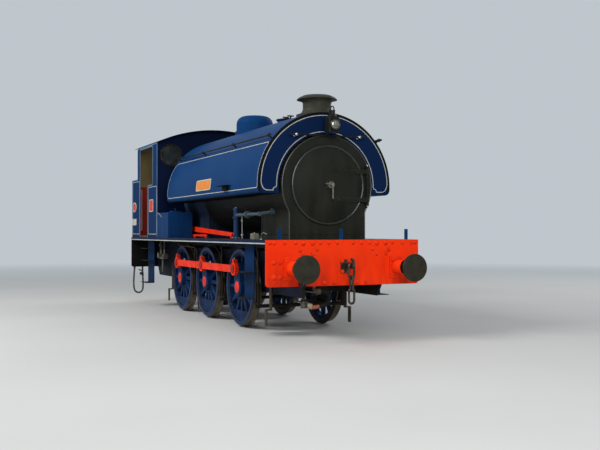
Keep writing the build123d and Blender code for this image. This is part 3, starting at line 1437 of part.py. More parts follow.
_, front_r, front_points = hose_table["front_hose"]
_, rear_r, rear_points = hose_table["rear_hose"]
mouth = front_points[0]
mouth_end = past_end(mouth, front_points[1], 62)
sleeve = front_points[-1]
sleeve_end = past_end(sleeve, front_points[-2], 130)
cock_y, cock_z = sleeve[0] - 245.0, sleeve[1] + 42.0
hang = rear_points[0]
hang_end = past_end(hang, rear_points[1], beam_bottom + 20 - hang[1])
tap = rear_points[-1]
tap_end = past_end(tap, rear_points[-2], 70)
with BuildPart() as hose_ends:
    bar((hose_x, *sleeve), (hose_x, *sleeve_end), front_r - 6)
    bar((hose_x, sleeve[0] - 115, sleeve[1] + 4), (hose_x, sleeve[0] - 190, sleeve[1] + 20), 44)
    bar((hose_x, sleeve[0] - 180, sleeve[1] + 18), (hose_x, cock_y, cock_z), 30)
    bar((hose_x, cock_y, cock_z - 62), (hose_x, cock_y, cock_z + 70), 40)
    bar((hose_x, cock_y, cock_z + 60), (hose_x, cock_y, beam_bottom + 30), 24)
    bar((hose_x - 20, cock_y - 10, cock_z + 30), (hose_x + 30, cock_y - 150, cock_z + 46), 12)
    block((beam_face_x, cock_y - 40, beam_bottom), (hose_x + 20, cock_y + 40, beam_bottom + 60))
    bar((hose_x, *mouth), (hose_x, *mouth_end), front_r + 5)
    bar((hose_x + 10, *mouth_end), (beam_face_x - 320, *mouth_end), 26)
    block(
        (beam_face_x - 24, mouth_end[0] - 20, mouth_end[1]),
        (beam_face_x - 4, mouth_end[0] + 20, beam_bottom),
    )
    bar((-hose_x, *hang), (-hose_x, *hang_end), rear_r + 3)
    block((-hose_x - 30, hang[0] - 30, beam_bottom + 10), (-beam_face_x, hang[0] + 30, beam_bottom + 50))
    bar((-hose_x, *tap), (-hose_x, *tap_end), rear_r + 6)
    bar((-hose_x, *tap_end), (-hose_x, tap_end[0], beam_bottom + 30), rear_r)
    bar((-hose_x, tap_end[0], tap_end[1] + 40), (-hose_x, tap_end[0] - 90, tap_end[1] + 70), 13)
    bar((-hose_x, tap_end[0] - 60, tap_end[1] - 20), (-hose_x, tap_end[0] + 10, tap_end[1] - 20), 30)
    block((-hose_x - 26, tap[0] - 30, beam_bottom + 10), (-beam_face_x, tap[0] + 30, beam_bottom + 50))
write(hose_ends, "hose_fittings")
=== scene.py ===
"""The looks of the steam locomotive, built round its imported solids. Metres, +X forward, +Z up."""

import math
from itertools import product

import bmesh
import bpy
from mathutils import Matrix, Vector


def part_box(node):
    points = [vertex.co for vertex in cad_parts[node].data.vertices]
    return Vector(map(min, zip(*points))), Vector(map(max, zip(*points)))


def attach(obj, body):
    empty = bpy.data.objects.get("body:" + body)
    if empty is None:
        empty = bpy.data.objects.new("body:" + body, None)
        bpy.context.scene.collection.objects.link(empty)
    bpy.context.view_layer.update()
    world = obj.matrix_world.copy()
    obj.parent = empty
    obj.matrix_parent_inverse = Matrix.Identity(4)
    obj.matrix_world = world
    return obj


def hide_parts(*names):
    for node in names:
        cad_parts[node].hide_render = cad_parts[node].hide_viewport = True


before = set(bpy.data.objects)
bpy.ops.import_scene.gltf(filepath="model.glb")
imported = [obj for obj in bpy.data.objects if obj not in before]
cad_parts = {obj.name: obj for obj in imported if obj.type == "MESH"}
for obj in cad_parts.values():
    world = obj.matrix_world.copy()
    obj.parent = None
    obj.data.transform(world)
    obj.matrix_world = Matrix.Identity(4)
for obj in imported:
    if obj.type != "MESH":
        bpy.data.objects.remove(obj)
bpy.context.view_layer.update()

SIDES = (-1, 1)
HANDS = ((-1, "right"), (1, "left"))

# Places read from the frame
tank_low, tank_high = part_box("saddle_tank")
tank_r = (tank_high.y - tank_low.y) / 2
boiler_z = tank_high.z - tank_r
tank_back_x, tank_front_x = tank_low.x, tank_high.x
smokebox_back_x, smokebox_x = (corner.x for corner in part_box("smokebox"))
door_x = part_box("smokebox_door")[0].x
deck_low, deck_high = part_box("running_plate")
beam_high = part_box("buffer_beams")[1]
beam_x, beam_top = beam_high.x, beam_high.z
stock_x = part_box("buffer_stocks")[1].x
side_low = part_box("cab_side_right")[0]
bunker_x, side_y = side_low.x, -side_low.y
cab_front_x, cab_rear_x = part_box("cab_front")[1].x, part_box("cab_rear")[1].x
bunker_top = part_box("bunker_back")[1].z
roof_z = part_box("cab_roof")[0].z
lamp_low, lamp_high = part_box("headlamp")
sand_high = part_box("sandboxes")[1]
pipe_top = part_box("ejector_pipe")[1].z
oiler_low, oiler_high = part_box("lubricator")
spring_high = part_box("leaf_springs")[1]
axle_x, wheel_face = {}, {}
for place in ("leading", "driving", "trailing"):
    low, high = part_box(f"{place}_tyres")
    axle_x[place] = (low.x + high.x) / 2
    wheel_face[place] = high.y
axle_z = (low.z + high.z) / 2

# Places that the frame's boxes don't give
rail = 0.028
smokebox_r, door_r = 0.765, 0.618
saddle_half = 0.648
saddle_waist = 0.15  # round where the saddle meets the drum
hub_y = 0.862  # outer face of a wheel's hub and axle end
rod_y = 0.934  # outer face of a coupling rod
frame_y = 0.651  # outer face of a frame plate
pin_throw = 0.305
door_front_x, door_rear_x = cab_front_x - 0.795, cab_rear_x + 0.230
window_front_x = cab_front_x - 0.366
waist_z, window_top = rail + 2.56, rail + 3.35
backhead_x = cab_front_x - 0.350
spectacle_y, spectacle_z, spectacle_r = 0.962, rail + 3.15, 0.195
sheet = 0.008


# Colours

def srgb(colour):
    """A colour written as 0 to 255, made linear."""
    shares = (value / 255 for value in colour)
    return tuple(
        share / 12.92 if share <= 0.04045 else ((share + 0.055) / 1.055) ** 2.4 for share in shares
    ) + (1.0,)


class Net:
    """A tree of nodes, and short calls to add to it."""

    def __init__(self, tree):
        self.tree = tree
        self.once = {}

    def put(self, kind, inputs, **options):
        """Adds a node; an input is a value or another node's output."""
        node = self.tree.nodes.new(kind)
        for name, value in options.items():
            setattr(node, name, value)
        for key, value in inputs.items():
            if isinstance(value, bpy.types.NodeSocket):
                self.tree.links.new(value, node.inputs[key])
            else:
                node.inputs[key].default_value = value
        return node.outputs

    def place(self, kind):
        """The place on the object, or its facing there."""
        if "place" not in self.once:
            self.once["place"] = self.put("ShaderNodeTexCoord", {})
        return self.once["place"][{"at": "Object", "facing": "Normal"}[kind]]

    def math(self, operation, first, second=0.0, clamp=False):
        inputs = {0: first, 1: second}
        return self.put("ShaderNodeMath", inputs, operation=operation, use_clamp=clamp)["Value"]

    def noise(self, scale, detail=5.0, stretch=(1.0, 1.0, 1.0)):
        where = self.put("ShaderNodeMapping", {"Vector": self.place("at"), "Scale": stretch})["Vector"]
        return self.put("ShaderNodeTexNoise", {"Vector": where, "Scale": scale, "Detail": detail})["Fac"]

    def spread(self, value, low, high, to_low=0.0, to_high=1.0):
        sockets = {"Value": value, "From Min": low, "From Max": high, "To Min": to_low, "To Max": to_high}
        return self.put("ShaderNodeMapRange", sockets)["Result"]

    def mix(self, share, first, second):
        inputs = {"Factor": share, "A": first, "B": second}
        return self.put("ShaderNodeMix", inputs, data_type="RGBA")["Result"]

    def mix_looks(self, share, first, second):
        return self.put("ShaderNodeMixShader", {"Fac": share, 1: first, 2: second})["Shader"]

    def axis(self, kind, axis):
        """A coordinate of the place or of the facing; R is the distance from the boiler's centre line."""
        if kind not in self.once:
            self.once[kind] = self.put("ShaderNodeSeparateXYZ", {"Vector": self.place(kind)})
        parts = self.once[kind]
        if axis == "R":
            height = self.math("SUBTRACT", parts["Z"], boiler_z)
            squares = [self.math("MULTIPLY", part, part) for part in (height, parts["Y"])]
            return self.math("SQRT", self.math("ADD", *squares))
        if axis.startswith("abs"):
            return self.math("ABSOLUTE", parts[axis[-1]])
        return parts[axis]

    def zone(self, tests):
        """1 where every test holds: each is ("at" or "facing", axis, low, high)."""
        share = 1.0
        for kind, axis, low, high in tests:
            value = self.axis(kind, axis)
            share = self.math("MULTIPLY", share, self.math("GREATER_THAN", value, low))
            share = self.math("MULTIPLY", share, self.math("LESS_THAN", value, high))
        return share


# Levels of noise between which a second colour comes in
worn_from, worn_to = 0.35, 0.75
dirt_from, dirt_to = 0.38, 0.72
rubbed_from, rubbed_to = 0.42, 0.62
run_scale, rub_scale = 6.0, 22.0
edge_from, edge_to = 0.985, 0.93  # how far the rounded normal leaves the true one where an edge is rubbed
edge_round, dent_depth = 0.004, 0.004
coat_rough = 0.12
zone_shade = 0.78


def surface(
    name, colour, worn, rough, patch, bump, metallic=0.0, coat=0.0, specular=0.05, grain=60.0,
    dirt=None, dirt_z=(0.0, 1.0), streak=0.0, rubbed=None, zones=(),
):
    """A painted or metal surface.

    Its colour drifts towards `worn` in patches. `zones` gives other colours to parts of it. `dirt`
    gathers downwards between two heights, in streaks if asked. `rubbed` shows where edges are worn.
    """
    material = bpy.data.materials.new(name)
    material.use_nodes = True
    net = Net(material.node_tree)
    shader = material.node_tree.nodes["Principled BSDF"].inputs
    shader["Metallic"].default_value = metallic
    shader["Coat Weight"].default_value = coat
    shader["Coat Roughness"].default_value = coat_rough
    shader["Specular IOR Level"].default_value = specular
    patches = net.noise(patch, 6.0)
    drift = net.spread(patches, worn_from, worn_to)
    result = net.mix(drift, srgb(colour), srgb(worn))
    if dirt:
        fall = net.spread(net.axis("at", "Z"), dirt_z[1], dirt_z[0])
        runs = net.spread(net.noise(run_scale, 5.0, (1.0, 1.0, 1.0 - streak)), dirt_from, dirt_to)
        result = net.mix(net.math("MULTIPLY", fall, runs, clamp=True), result, srgb(dirt))
    for zone_colour, *tests in zones:
        fresh = srgb(zone_colour)
        shaded = tuple(value * zone_shade for value in fresh[:3]) + (1.0,)
        result = net.mix(net.zone(tests), result, net.mix(drift, fresh, shaded))
    soft_edge = net.put("ShaderNodeBevel", {"Radius": edge_round}, samples=4)["Normal"]
    if rubbed:
        normals = {0: soft_edge, 1: net.put("ShaderNodeNewGeometry", {})["Normal"]}
        along = net.put("ShaderNodeVectorMath", normals, operation="DOT_PRODUCT")["Value"]
        flecks = net.spread(net.noise(rub_scale), rubbed_from, rubbed_to)
        edge = net.math("MULTIPLY", net.spread(along, edge_from, edge_to), flecks, clamp=True)
        result = net.mix(edge, result, srgb(rubbed))
    dents = {"Height": net.noise(grain, 4.0), "Strength": bump, "Distance": dent_depth, "Normal": soft_edge}
    links = net.tree.links
    links.new(result, shader["Base Color"])
    links.new(net.spread(patches, 0.0, 1.0, *rough), shader["Roughness"])
    links.new(net.put("ShaderNodeBump", dents)["Normal"], shader["Normal"])
    return material


OIL = (30, 26, 22)
NEAR_BLACK = (22, 22, 22)
STEEL = (150, 146, 138)
BLUE = (15, 54, 100)
# a darker copy of BLUE for the cab and the steps: painted shade
SHADED_BLUE = (12, 45, 86)
BLUE_DIRT = (16, 40, 74)
BLUE_EDGE = (80, 96, 120)

# Zones: where a node changes colour, each written as its colour and its tests
FAR = 20.0


def above(axis, limit):
    return ("at", axis, limit, FAR)


def below(axis, limit):
    return ("at", axis, -FAR, limit)


end_band, rim_band = 0.010, 0.042  # the black band round each end of the tank: along it, and on its face
tank_front, tank_back = above("X", tank_front_x - end_band), below("X", tank_back_x + end_band)
tank_face = below("R", tank_r - rim_band)
# the end faces inside the black band are a darker navy than the sides: painted shade
end_face_shade_navy = (16, 36, 72)
tank_zones = (
    (NEAR_BLACK, tank_front), (NEAR_BLACK, tank_back),
    (end_face_shade_navy, tank_face, tank_front), (end_face_shade_navy, tank_face, tank_back),
    # the tank's faces turned downwards are near black
    (NEAR_BLACK, ("facing", "Z", -FAR, -0.9)),
)
between_sides = below("absY", side_y - sheet / 2)
inside_cab = (
    ("at", "X", cab_rear_x - sheet / 2, cab_front_x - sheet / 2), between_sides, above("Z", beam_top),
)
cab_zones = (
    ((150, 136, 92), *inside_cab),
    ((176, 56, 36), *inside_cab, below("Z", waist_z)),
    (
        NEAR_BLACK, ("at", "X", bunker_x + sheet / 2, cab_rear_x - sheet / 2), between_sides,
        ("at", "Z", beam_top, bunker_top - 0.02),
    ),
    # the cab front's forward faces are a darker navy than its sides: painted shade
    ((14, 25, 52), ("facing", "X", 0.5, FAR), above("X", cab_front_x - sheet / 2)),
)
axle_bare_y, pin_red_y = 0.66, 0.936
wheel_zones = (((66, 62, 56), below("absY", axle_bare_y)), ((196, 40, 22), above("absY", pin_red_y)))
tyre_face_y, tyre_back_y = 0.815, 0.684
tyre_zones = (((19, 50, 94), above("absY", tyre_face_y)), ((38, 34, 30), below("absY", tyre_back_y)))
ladder_y, tread_z = 1.11, 2.1
step_zones = (
    ((58, 54, 48), ("facing", "Z", 0.5, FAR)), ((46, 46, 46), above("absY", ladder_y)),
    (NEAR_BLACK, above("Z", tread_z)),
)
edge_y, line_z = deck_high.y - 0.002, deck_low.z + 0.018  # the valance's face, and the line at its foot
deck_zones = (
    ((16, 30, 62), above("absY", edge_y)), ((186, 188, 178), above("absY", edge_y), below("Z", line_z)),
)
beam_back = beam_x - 0.014
stock_end = stock_x - 0.003
buffer_face_x = 4.588
frame_inner_y = 0.6225
pipe_worn_x = smokebox_back_x - 0.43
hose_zone_x, hose_zone_z = 4.09, 0.6  # the front hose's fittings: how far out, and between upper and lower
hose_zones = (
    ((26, 26, 26), above("X", hose_zone_x), ("at", "Y", -0.745, -0.655), above("Z", hose_zone_z)),
    ((172, 106, 80), above("X", hose_zone_x), ("at", "Y", -0.585, -0.44), below("Z", hose_zone_z)),
    ((176, 168, 140), above("X", hose_zone_x), ("at", "Y", -0.655, -0.585), below("Z", hose_zone_z)),
)

# Surfaces: name, nodes, colour, worn colour, roughness from and to, size of patches, dents, and the rest
surface_table = (
    ("tank_blue", "saddle_tank", BLUE, (19, 62, 108), (0.36, 0.46), 0.8, 0.02, dict(
        specular=0.015, grain=7.0, dirt=BLUE_DIRT, dirt_z=(1.6, 2.7), streak=0.8, rubbed=(90, 106, 130),
        zones=tank_zones)),
    ("engine_blue", "dome sandboxes lamp_irons tank_filler", BLUE, (18, 58, 104), (0.4, 0.5), 1.1, 0.03, dict(
        specular=0.02, grain=9.0, dirt=BLUE_DIRT, dirt_z=(1.2, 2.3), streak=0.8, rubbed=BLUE_EDGE)),
    ("cab_blue", "cab_front cab_side_left cab_side_right cab_rear bunker_back",
        SHADED_BLUE, (15, 49, 90), (0.46, 0.56), 1.1, 0.03, dict(
            specular=0.015, grain=9.0, dirt=(30, 32, 40), dirt_z=(1.2, 2.2), streak=0.8, rubbed=BLUE_EDGE,
            zones=cab_zones)),
    ("wheel_blue", "leading_wheels driving_wheels trailing_wheels",
        (18, 48, 92), (28, 56, 92), (0.3, 0.5), 6.0, 0.08, dict(
            specular=0.02, dirt=OIL, dirt_z=(-0.1, 1.3), rubbed=(96, 108, 126), zones=wheel_zones)),
    ("tyre_steel", "leading_tyres driving_tyres trailing_tyres",
        (112, 104, 94), (74, 66, 58), (0.3, 0.5), 9.0, 0.06, dict(metallic=0.7, zones=tyre_zones)),
    ("step_blue", "steps", SHADED_BLUE, (15, 48, 88), (0.46, 0.58), 3.0, 0.06, dict(
        specular=0.015, dirt=OIL, dirt_z=(0.2, 1.5), zones=step_zones)),
    ("pipe_blue", "ejector_pipe", (28, 52, 90), (42, 64, 96), (0.35, 0.5), 8.0, 0.08, dict(
        rubbed=(120, 128, 138), zones=(((72, 86, 96), above("X", pipe_worn_x)),))),
    ("beam_red", "buffer_beams", (255, 60, 16), (246, 50, 14), (0.32, 0.46), 2.0, 0.04, dict(
        coat=0.03, grain=14.0, dirt=(140, 34, 20), dirt_z=(0.5, 1.4), streak=0.7, rubbed=(240, 96, 60),
        zones=((NEAR_BLACK, below("absX", beam_back)),))),
    ("stock_red", "buffer_stocks", (250, 62, 20), (226, 48, 16), (0.3, 0.45), 7.0, 0.05, dict(
        coat=0.03, rubbed=(240, 100, 64), zones=((OIL, above("absX", stock_end)),))),
    ("rod_red", "coupling_rod_front_left coupling_rod_front_right coupling_rod_rear_left"
        " coupling_rod_rear_right reach_rod", (255, 56, 20), (236, 46, 16), (0.28, 0.42), 6.0, 0.05, dict(
            coat=0.03, dirt=(120, 30, 20), dirt_z=(0.3, 1.2), rubbed=(244, 120, 86))),
    ("smokebox_black", "smokebox smokebox_door blastpipe door_hinge_rod",
        (29, 31, 26), (40, 42, 36), (0.4, 0.58), 2.6, 0.1, dict(
            grain=45.0, dirt=(50, 48, 40), dirt_z=(1.2, 3.2), streak=0.85, rubbed=(112, 108, 94))),
    ("chimney_black", "chimney", (52, 53, 45), (64, 65, 55), (0.36, 0.52), 5.0, 0.1, dict(
        grain=40.0, dirt=(34, 33, 28), dirt_z=(3.9, 3.5), streak=0.7, rubbed=(120, 118, 100))),
    ("roof_black", "cab_roof window_frames", (26, 27, 28), (38, 39, 39), (0.45, 0.65), 2.0, 0.1, dict(
        zones=(((150, 138, 106), ("facing", "Z", -FAR, -0.1), ("at", "X", cab_rear_x, cab_front_x)),))),
    # the frames' dark blue is taken near black: their paint with painted shade
    ("frame_blue", "main_frames frame_stretchers", (12, 20, 44), (18, 24, 42), (0.35, 0.6), 4.0, 0.1, dict(
        dirt=OIL, dirt_z=(0.1, 1.6), rubbed=(60, 66, 80),
        zones=(((32, 28, 25), below("absY", frame_inner_y)),))),
    ("frame_black", "ashpan cylinder_block leaf_springs brake_gear filler_lid",
        (24, 24, 26), (38, 35, 31), (0.35, 0.6), 5.0, 0.12, dict(
            dirt=(66, 54, 42), dirt_z=(0.1, 1.4), rubbed=(92, 84, 74))),
    ("deck_black", "running_plate", (28, 28, 30), (46, 43, 38), (0.4, 0.62), 3.0, 0.12, dict(
        rubbed=(96, 90, 80), zones=deck_zones)),
    ("lagging_black", "boiler_barrel", (25, 26, 27), (36, 37, 36), (0.35, 0.55), 2.2, 0.06, dict(
        rubbed=(80, 80, 78))),
    ("firebox_grey", "firebox", (44, 56, 78), (34, 42, 58), (0.4, 0.6), 2.2, 0.08, dict(
        dirt=OIL, dirt_z=(0.6, 1.9), zones=((NEAR_BLACK, below("X", backhead_x + 0.03)),))),
    ("bare_iron", "guard_irons", (92, 80, 66), (58, 48, 40), (0.45, 0.65), 7.0, 0.15, dict(
        metallic=0.4, rubbed=STEEL)),
    ("buffer_steel", "buffer_heads", (58, 57, 48), (44, 42, 35), (0.34, 0.55), 9.0, 0.1, dict(
        metallic=0.4, rubbed=(150, 144, 128), zones=(((112, 104, 90), below("absX", buffer_face_x)),))),
    ("rim_black", "", (32, 34, 29), (42, 44, 38), (0.26, 0.38), 3.0, 0.05, dict(specular=0.5, coat=0.1)),
    # dark red of the painted shadows under the beam nuts
    ("nut_painted_shadow", "", (104, 18, 10), (84, 20, 12), (0.6, 0.8), 9.0, 0.05, {}),
    ("dart_steel", "door_dart", (124, 122, 110), (86, 84, 76), (0.34, 0.5), 14.0, 0.06, dict(metallic=0.5)),
    ("bright_steel", "", (190, 188, 180), (142, 138, 130), (0.18, 0.34), 12.0, 0.05, dict(
        metallic=1.0, specular=0.5)),
    ("greased_steel", "axleboxes slide_bars drawhooks coupling_links",
        (80, 76, 66), (44, 39, 33), (0.25, 0.45), 10.0, 0.1, dict(metallic=0.8, specular=0.5, rubbed=STEEL)),
    ("injector_bronze", "injectors", (104, 100, 78), (62, 60, 48), (0.3, 0.48), 9.0, 0.1, dict(
        metallic=0.6, specular=0.5, rubbed=(176, 160, 110), zones=(((52, 52, 48), above("Z", rail + 1.2)),))),
    ("brass", "boiler_mountings", (206, 160, 78), (170, 122, 56), (0.2, 0.36), 14.0, 0.04, dict(
        metallic=1.0, specular=0.5)),
    ("copper", "", (190, 112, 78), (132, 78, 56), (0.28, 0.45), 14.0, 0.05, dict(metallic=1.0, specular=0.5)),
    ("cab_fitting", "cab_fittings", (30, 29, 28), (48, 43, 38), (0.3, 0.5), 7.0, 0.08, dict(
        rubbed=STEEL, zones=(((150, 112, 58), above("Z", rail + 2.28), below("X", backhead_x)),))),
    ("hose_metal", "hose_fittings", (92, 88, 76), (56, 50, 42), (0.26, 0.45), 14.0, 0.1, dict(
        metallic=0.8, specular=0.5, rubbed=(186, 178, 150), zones=hose_zones)),
    ("hose_rubber", "front_hose rear_hose", (22, 22, 22), (38, 36, 34), (0.5, 0.7), 20.0, 0.25, {}),
    ("loop_rubber", "", (92, 94, 96), (60, 60, 60), (0.5, 0.7), 12.0, 0.25, {}),
    ("lining_cream", "", (190, 192, 182), (170, 170, 156), (0.4, 0.5), 5.0, 0.05, {}),
    ("bead_blue", "", (96, 122, 154), (76, 102, 138), (0.35, 0.5), 6.0, 0.04, {}),
    ("plate_orange", "", (226, 140, 62), (204, 114, 46), (0.3, 0.45), 16.0, 0.1, {}),
    ("badge_red", "", (204, 66, 42), (176, 50, 34), (0.3, 0.45), 16.0, 0.08, {}),
    ("floor_planks", "cab_floor", (98, 78, 56), (66, 54, 42), (0.6, 0.8), 5.0, 0.3, {}),
    ("lamp_black", "headlamp", (22, 22, 22), (34, 33, 31), (0.22, 0.36), 12.0, 0.05, dict(
        coat=0.1, rubbed=(120, 112, 96))),
    ("handrail_black", "handrails", (24, 26, 30), (36, 38, 42), (0.25, 0.4), 9.0, 0.05, dict(
        rubbed=(140, 136, 126), zones=(((150, 152, 150), below("X", cab_front_x - 0.3)),))),
    ("box_grey", "lubricator", (122, 124, 110), (98, 98, 84), (0.35, 0.5), 9.0, 0.06, {}),
    ("dial_white", "", (226, 222, 208), (208, 202, 184), (0.3, 0.4), 20.0, 0.05, {}),
    ("window_glass", "window_glass", (104, 116, 112), (104, 116, 112), (0.05, 0.13), 3.0, 0.01, dict(
        specular=0.5)),
    ("lamp_lens", "", (150, 152, 138), (120, 122, 108), (0.08, 0.14), 1.5, 0.0, dict(
        metallic=0.8, specular=0.8)),
    ("floor_pale", "", (206, 205, 202), (200, 199, 196), (0.8, 0.9), 0.3, 0.05, {}),
)
paint = {}
for name, nodes, colour, worn, rough, patch, bump, rest in surface_table:
    paint[name] = surface(name, colour, worn, rough, patch, bump, **rest)
    for node in nodes.split():
        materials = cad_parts[node].data.materials
        materials.clear()
        materials.append(paint[name])
glass = paint["window_glass"].node_tree.nodes["Principled BSDF"].inputs
glass["Transmission Weight"].default_value = 0.9
glass["IOR"].default_value = 1.45


# Shapes

NUT = (  # above its washer, in shares of its size: sides of its round, and (distance along, radius) rows
    (6, ((0.1, 0.5), (0.45, 0.5), (0.52, 0.4))),
    (10, ((0.5, 0.27), (0.72, 0.27), (0.76, 0.2))),
)


def turns(count):
    """Angles that share out a whole turn."""
    return [2 * math.pi * step / count for step in range(count)]


def about(at, axis):
    """A function that gives the point at a distance along an axis, a radius and an angle round it."""
    turn = Vector(axis).to_track_quat("Z", "Y")

    def point(along, radius, angle):
        return Vector(at) + turn @ Vector((radius * math.cos(angle), radius * math.sin(angle), along))
    return point


class Shape:
    """Gathers the faces of one piece."""

    def __init__(self):
        self.points = []
        self.faces = []

    def add(self, points, faces):
        start = len(self.points)
        self.points += [tuple(point) for point in points]
        self.faces += [tuple(start + corner for corner in face) for face in faces]

    def rings(self, rings, closed=False):
        """Skins rings of equal count into a tube, capped at both ends unless closed on itself."""
        count = len(rings[0])
        spans = len(rings) if closed else len(rings) - 1
        faces = []
        for row in range(spans):
            near, far = row * count, (row + 1) % len(rings) * count
            for column in range(count):
                following = (column + 1) % count
                faces.append((near + column, near + following, far + following, far + column))
        if not closed:
            faces.append(tuple(reversed(range(count))))
            faces.append(tuple(range((len(rings) - 1) * count, len(rings) * count)))
        self.add([point for ring in rings for point in ring], faces)

    def lathe(self, at, axis, profile, segments=32):
        """Turns a profile of (distance along the axis, radius) about the axis."""
        point = about(at, axis)
        self.rings([[point(along, radius, angle) for angle in turns(segments)] for along, radius in profile])

    def turned(self, at, axis, part):
        """A small part from the table of turned parts."""
        segments, profile = TURNED[part]
        self.lathe(at, axis, profile, segments)

    def ring(self, at, axis, radius, thick, segments=64, sides=8):
        """A round bar bent to a circle."""
        point = about(at, axis)
        bar = [(thick * math.sin(angle), radius + thick * math.cos(angle)) for angle in turns(sides)]
        rings = [[point(along, out, angle) for along, out in bar] for angle in turns(segments)]
        self.rings(rings, closed=True)

    def bolt(self, at, axis, size):
        """A nut on a washer, of that size across its corners."""
        self.lathe(at, axis, [(-0.002, size * 0.72), (size * 0.1, size * 0.72)], 16)
        for segments, profile in NUT:
            self.lathe(at, axis, [(size * along, size * radius) for along, radius in profile], segments)

    def rivet(self, at, axis, radius):
        """A snap-head rivet."""
        profile = [(-0.001, radius), (0.35 * radius, 0.92 * radius), (0.62 * radius, 0.68 * radius)]
        self.lathe(at, axis, profile + [(0.78 * radius, 0.25 * radius)], 10)

    def box(self, low, high):
        """A box between two corners."""
        x, y, z = zip(low, high)
        points = [(x[i], y[j], z[k]) for i in (0, 1) for j in (0, 1) for k in (0, 1)]
        self.add(points, [(0, 1, 3, 2), (4, 6, 7, 5), (0, 4, 5, 1), (2, 3, 7, 6), (0, 2, 6, 4), (1, 5, 7, 3)])

    def tube(self, path, radius, segments=12):
        """A round bar or pipe along a list of points."""
        path = [Vector(point) for point in path]
        rings = []
        side = None
        for index, point in enumerate(path):
            way = (path[min(index + 1, len(path) - 1)] - path[max(index - 1, 0)]).normalized()
            if side is None:
                side = way.orthogonal().normalized()
            side = (side - way * side.dot(way)).normalized()
            other = way.cross(side)
            rings.append([
                point + radius * (side * math.cos(angle) + other * math.sin(angle))
                for angle in turns(segments)
            ])
        self.rings(rings)

    def ribbon(self, outline, width, place, thick, closed=True):
        """A flat strip of that width along a 2-D outline; place(u, v, lift) puts its points in space."""
        inner, outer = offset_pair(outline, width, closed)
        rings = []
        for near, far in zip(inner, outer):
            rings.append([place(*near, 0.0), place(*far, 0.0), place(*far, thick), place(*near, thick)])
        self.rings(rings, closed)

    def slab(self, outline, place, thick, rows=5):
        """A thin plate inside a 2-D outline that is wider than it is high, cut into upright strips."""
        heights = [v for _, v in outline]
        middle = (min(heights) + max(heights)) / 2
        top = sorted((point for point in outline if point[1] >= middle), key=lambda point: point[0])
        rings = []
        for u, v in top:
            half = v - middle
            heights = [middle - half + 2 * half * row / (rows - 1) for row in range(rows)]
            back = [place(u, height, 0.0) for height in heights]
            front = [place(u, height, thick) for height in reversed(heights)]
            rings.append(back + front)
        self.rings(rings)

    def make(self, name, material, body="locomotive", slot=None, smooth=35.0, bevel=0.0):
        """Turns the gathered faces into a piece that rides on a body."""
        mesh = bpy.data.meshes.new(name)
        mesh.from_pydata(self.points, [], self.faces)
        mesh.validate()
        shell = bmesh.new()
        shell.from_mesh(mesh)
        bmesh.ops.recalc_face_normals(shell, faces=shell.faces)
        shell.to_mesh(mesh)
        shell.free()
        mesh.polygons.foreach_set("use_smooth", [True] * len(mesh.polygons))
        mesh.set_sharp_from_angle(angle=math.radians(smooth))
        piece = add_object(name, mesh, paint[material])
        if bevel:
            edge = piece.modifiers.new("edge", "BEVEL")
            edge.width = bevel
            edge.segments = 2
            edge.limit_method = "ANGLE"
        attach(piece, body)
        return piece


def add_object(name, data, material=None):
    """Puts a mesh, curve, lamp or camera into the scene."""
    made = bpy.data.objects.new(name, data)
    bpy.context.scene.collection.objects.link(made)
    if material:
        data.materials.append(material)
    return made


def offset_pair(outline, width, closed):
    """Two copies of a 2-D outline, half the width to each side of it."""
    count = len(outline)
    inner, outer = [], []
    for index, (u, v) in enumerate(outline):
        if closed:
            before, after = outline[index - 1], outline[(index + 1) % count]
        else:
            before, after = outline[max(index - 1, 0)], outline[min(index + 1, count - 1)]
        first = Vector((u - before[0], v - before[1]))
        second = Vector((after[0] - u, after[1] - v))
        first = first.normalized() if first.length > 1e-9 else second.normalized()
        second = second.normalized() if second.length > 1e-9 else first
        normal = Vector((-(first.y + second.y), first.x + second.x)).normalized()
        stretch = 1 / max(0.5, normal.dot(Vector((-second.y, second.x))))
        inner.append((u - normal.x * width / 2 * stretch, v - normal.y * width / 2 * stretch))
        outer.append((u + normal.x * width / 2 * stretch, v + normal.y * width / 2 * stretch))
    return inner, outer


def rounded(corners, steps=8, closed=True):
    """A 2-D outline through (u, v, radius) corners, each rounded by its radius."""
    outline = []
    count = len(corners)
    for index, (u, v, radius) in enumerate(corners):
        if radius <= 0 or (not closed and index in (0, count - 1)):
            outline.append((u, v))
            continue
        here = Vector((u, v))
        before = Vector(corners[index - 1][:2]) - here
        after = Vector(corners[(index + 1) % count][:2]) - here
        half = before.angle(after) / 2
        reach = radius / math.tan(half)
        start = here + before.normalized() * reach
        end = here + after.normalized() * reach
        middle = here + (before.normalized() + after.normalized()).normalized() * radius / math.sin(half)
        first = math.atan2(start.y - middle.y, start.x - middle.x)
        sweep = math.atan2(end.y - middle.y, end.x - middle.x) - first
        sweep = (sweep + math.pi) % (2 * math.pi) - math.pi
        for step in range(steps + 1):
            turn = first + sweep * step / steps
            outline.append((middle.x + radius * math.cos(turn), middle.y + radius * math.sin(turn)))
    return outline


def panel(low_u, high_u, low_v, high_v, radius, steps=8):
    """A rounded oblong between its limits."""
    corners = ((high_u, low_v), (high_u, high_v), (low_u, high_v), (low_u, low_v))
    return rounded([(u, v, radius) for u, v in corners], steps)


def finer(outline, step):
    """The same closed outline with extra points, so that no run is longer than step."""
    result = []
    for index, point in enumerate(outline):
        following = outline[(index + 1) % len(outline)]
        parts = max(1, math.ceil(math.dist(point, following) / step))
        result.append(point)
        for part in range(1, parts):
            share = part / parts
            result.append(tuple(a + (b - a) * share for a, b in zip(point, following)))
    return result


def arc(centre, radius, first, last, steps):
    """Points along an arc, its ends given in degrees."""
    turns = [math.radians(first + (last - first) * step / steps) for step in range(steps + 1)]
    return [(centre[0] + radius * math.cos(turn), centre[1] + radius * math.sin(turn)) for turn in turns]


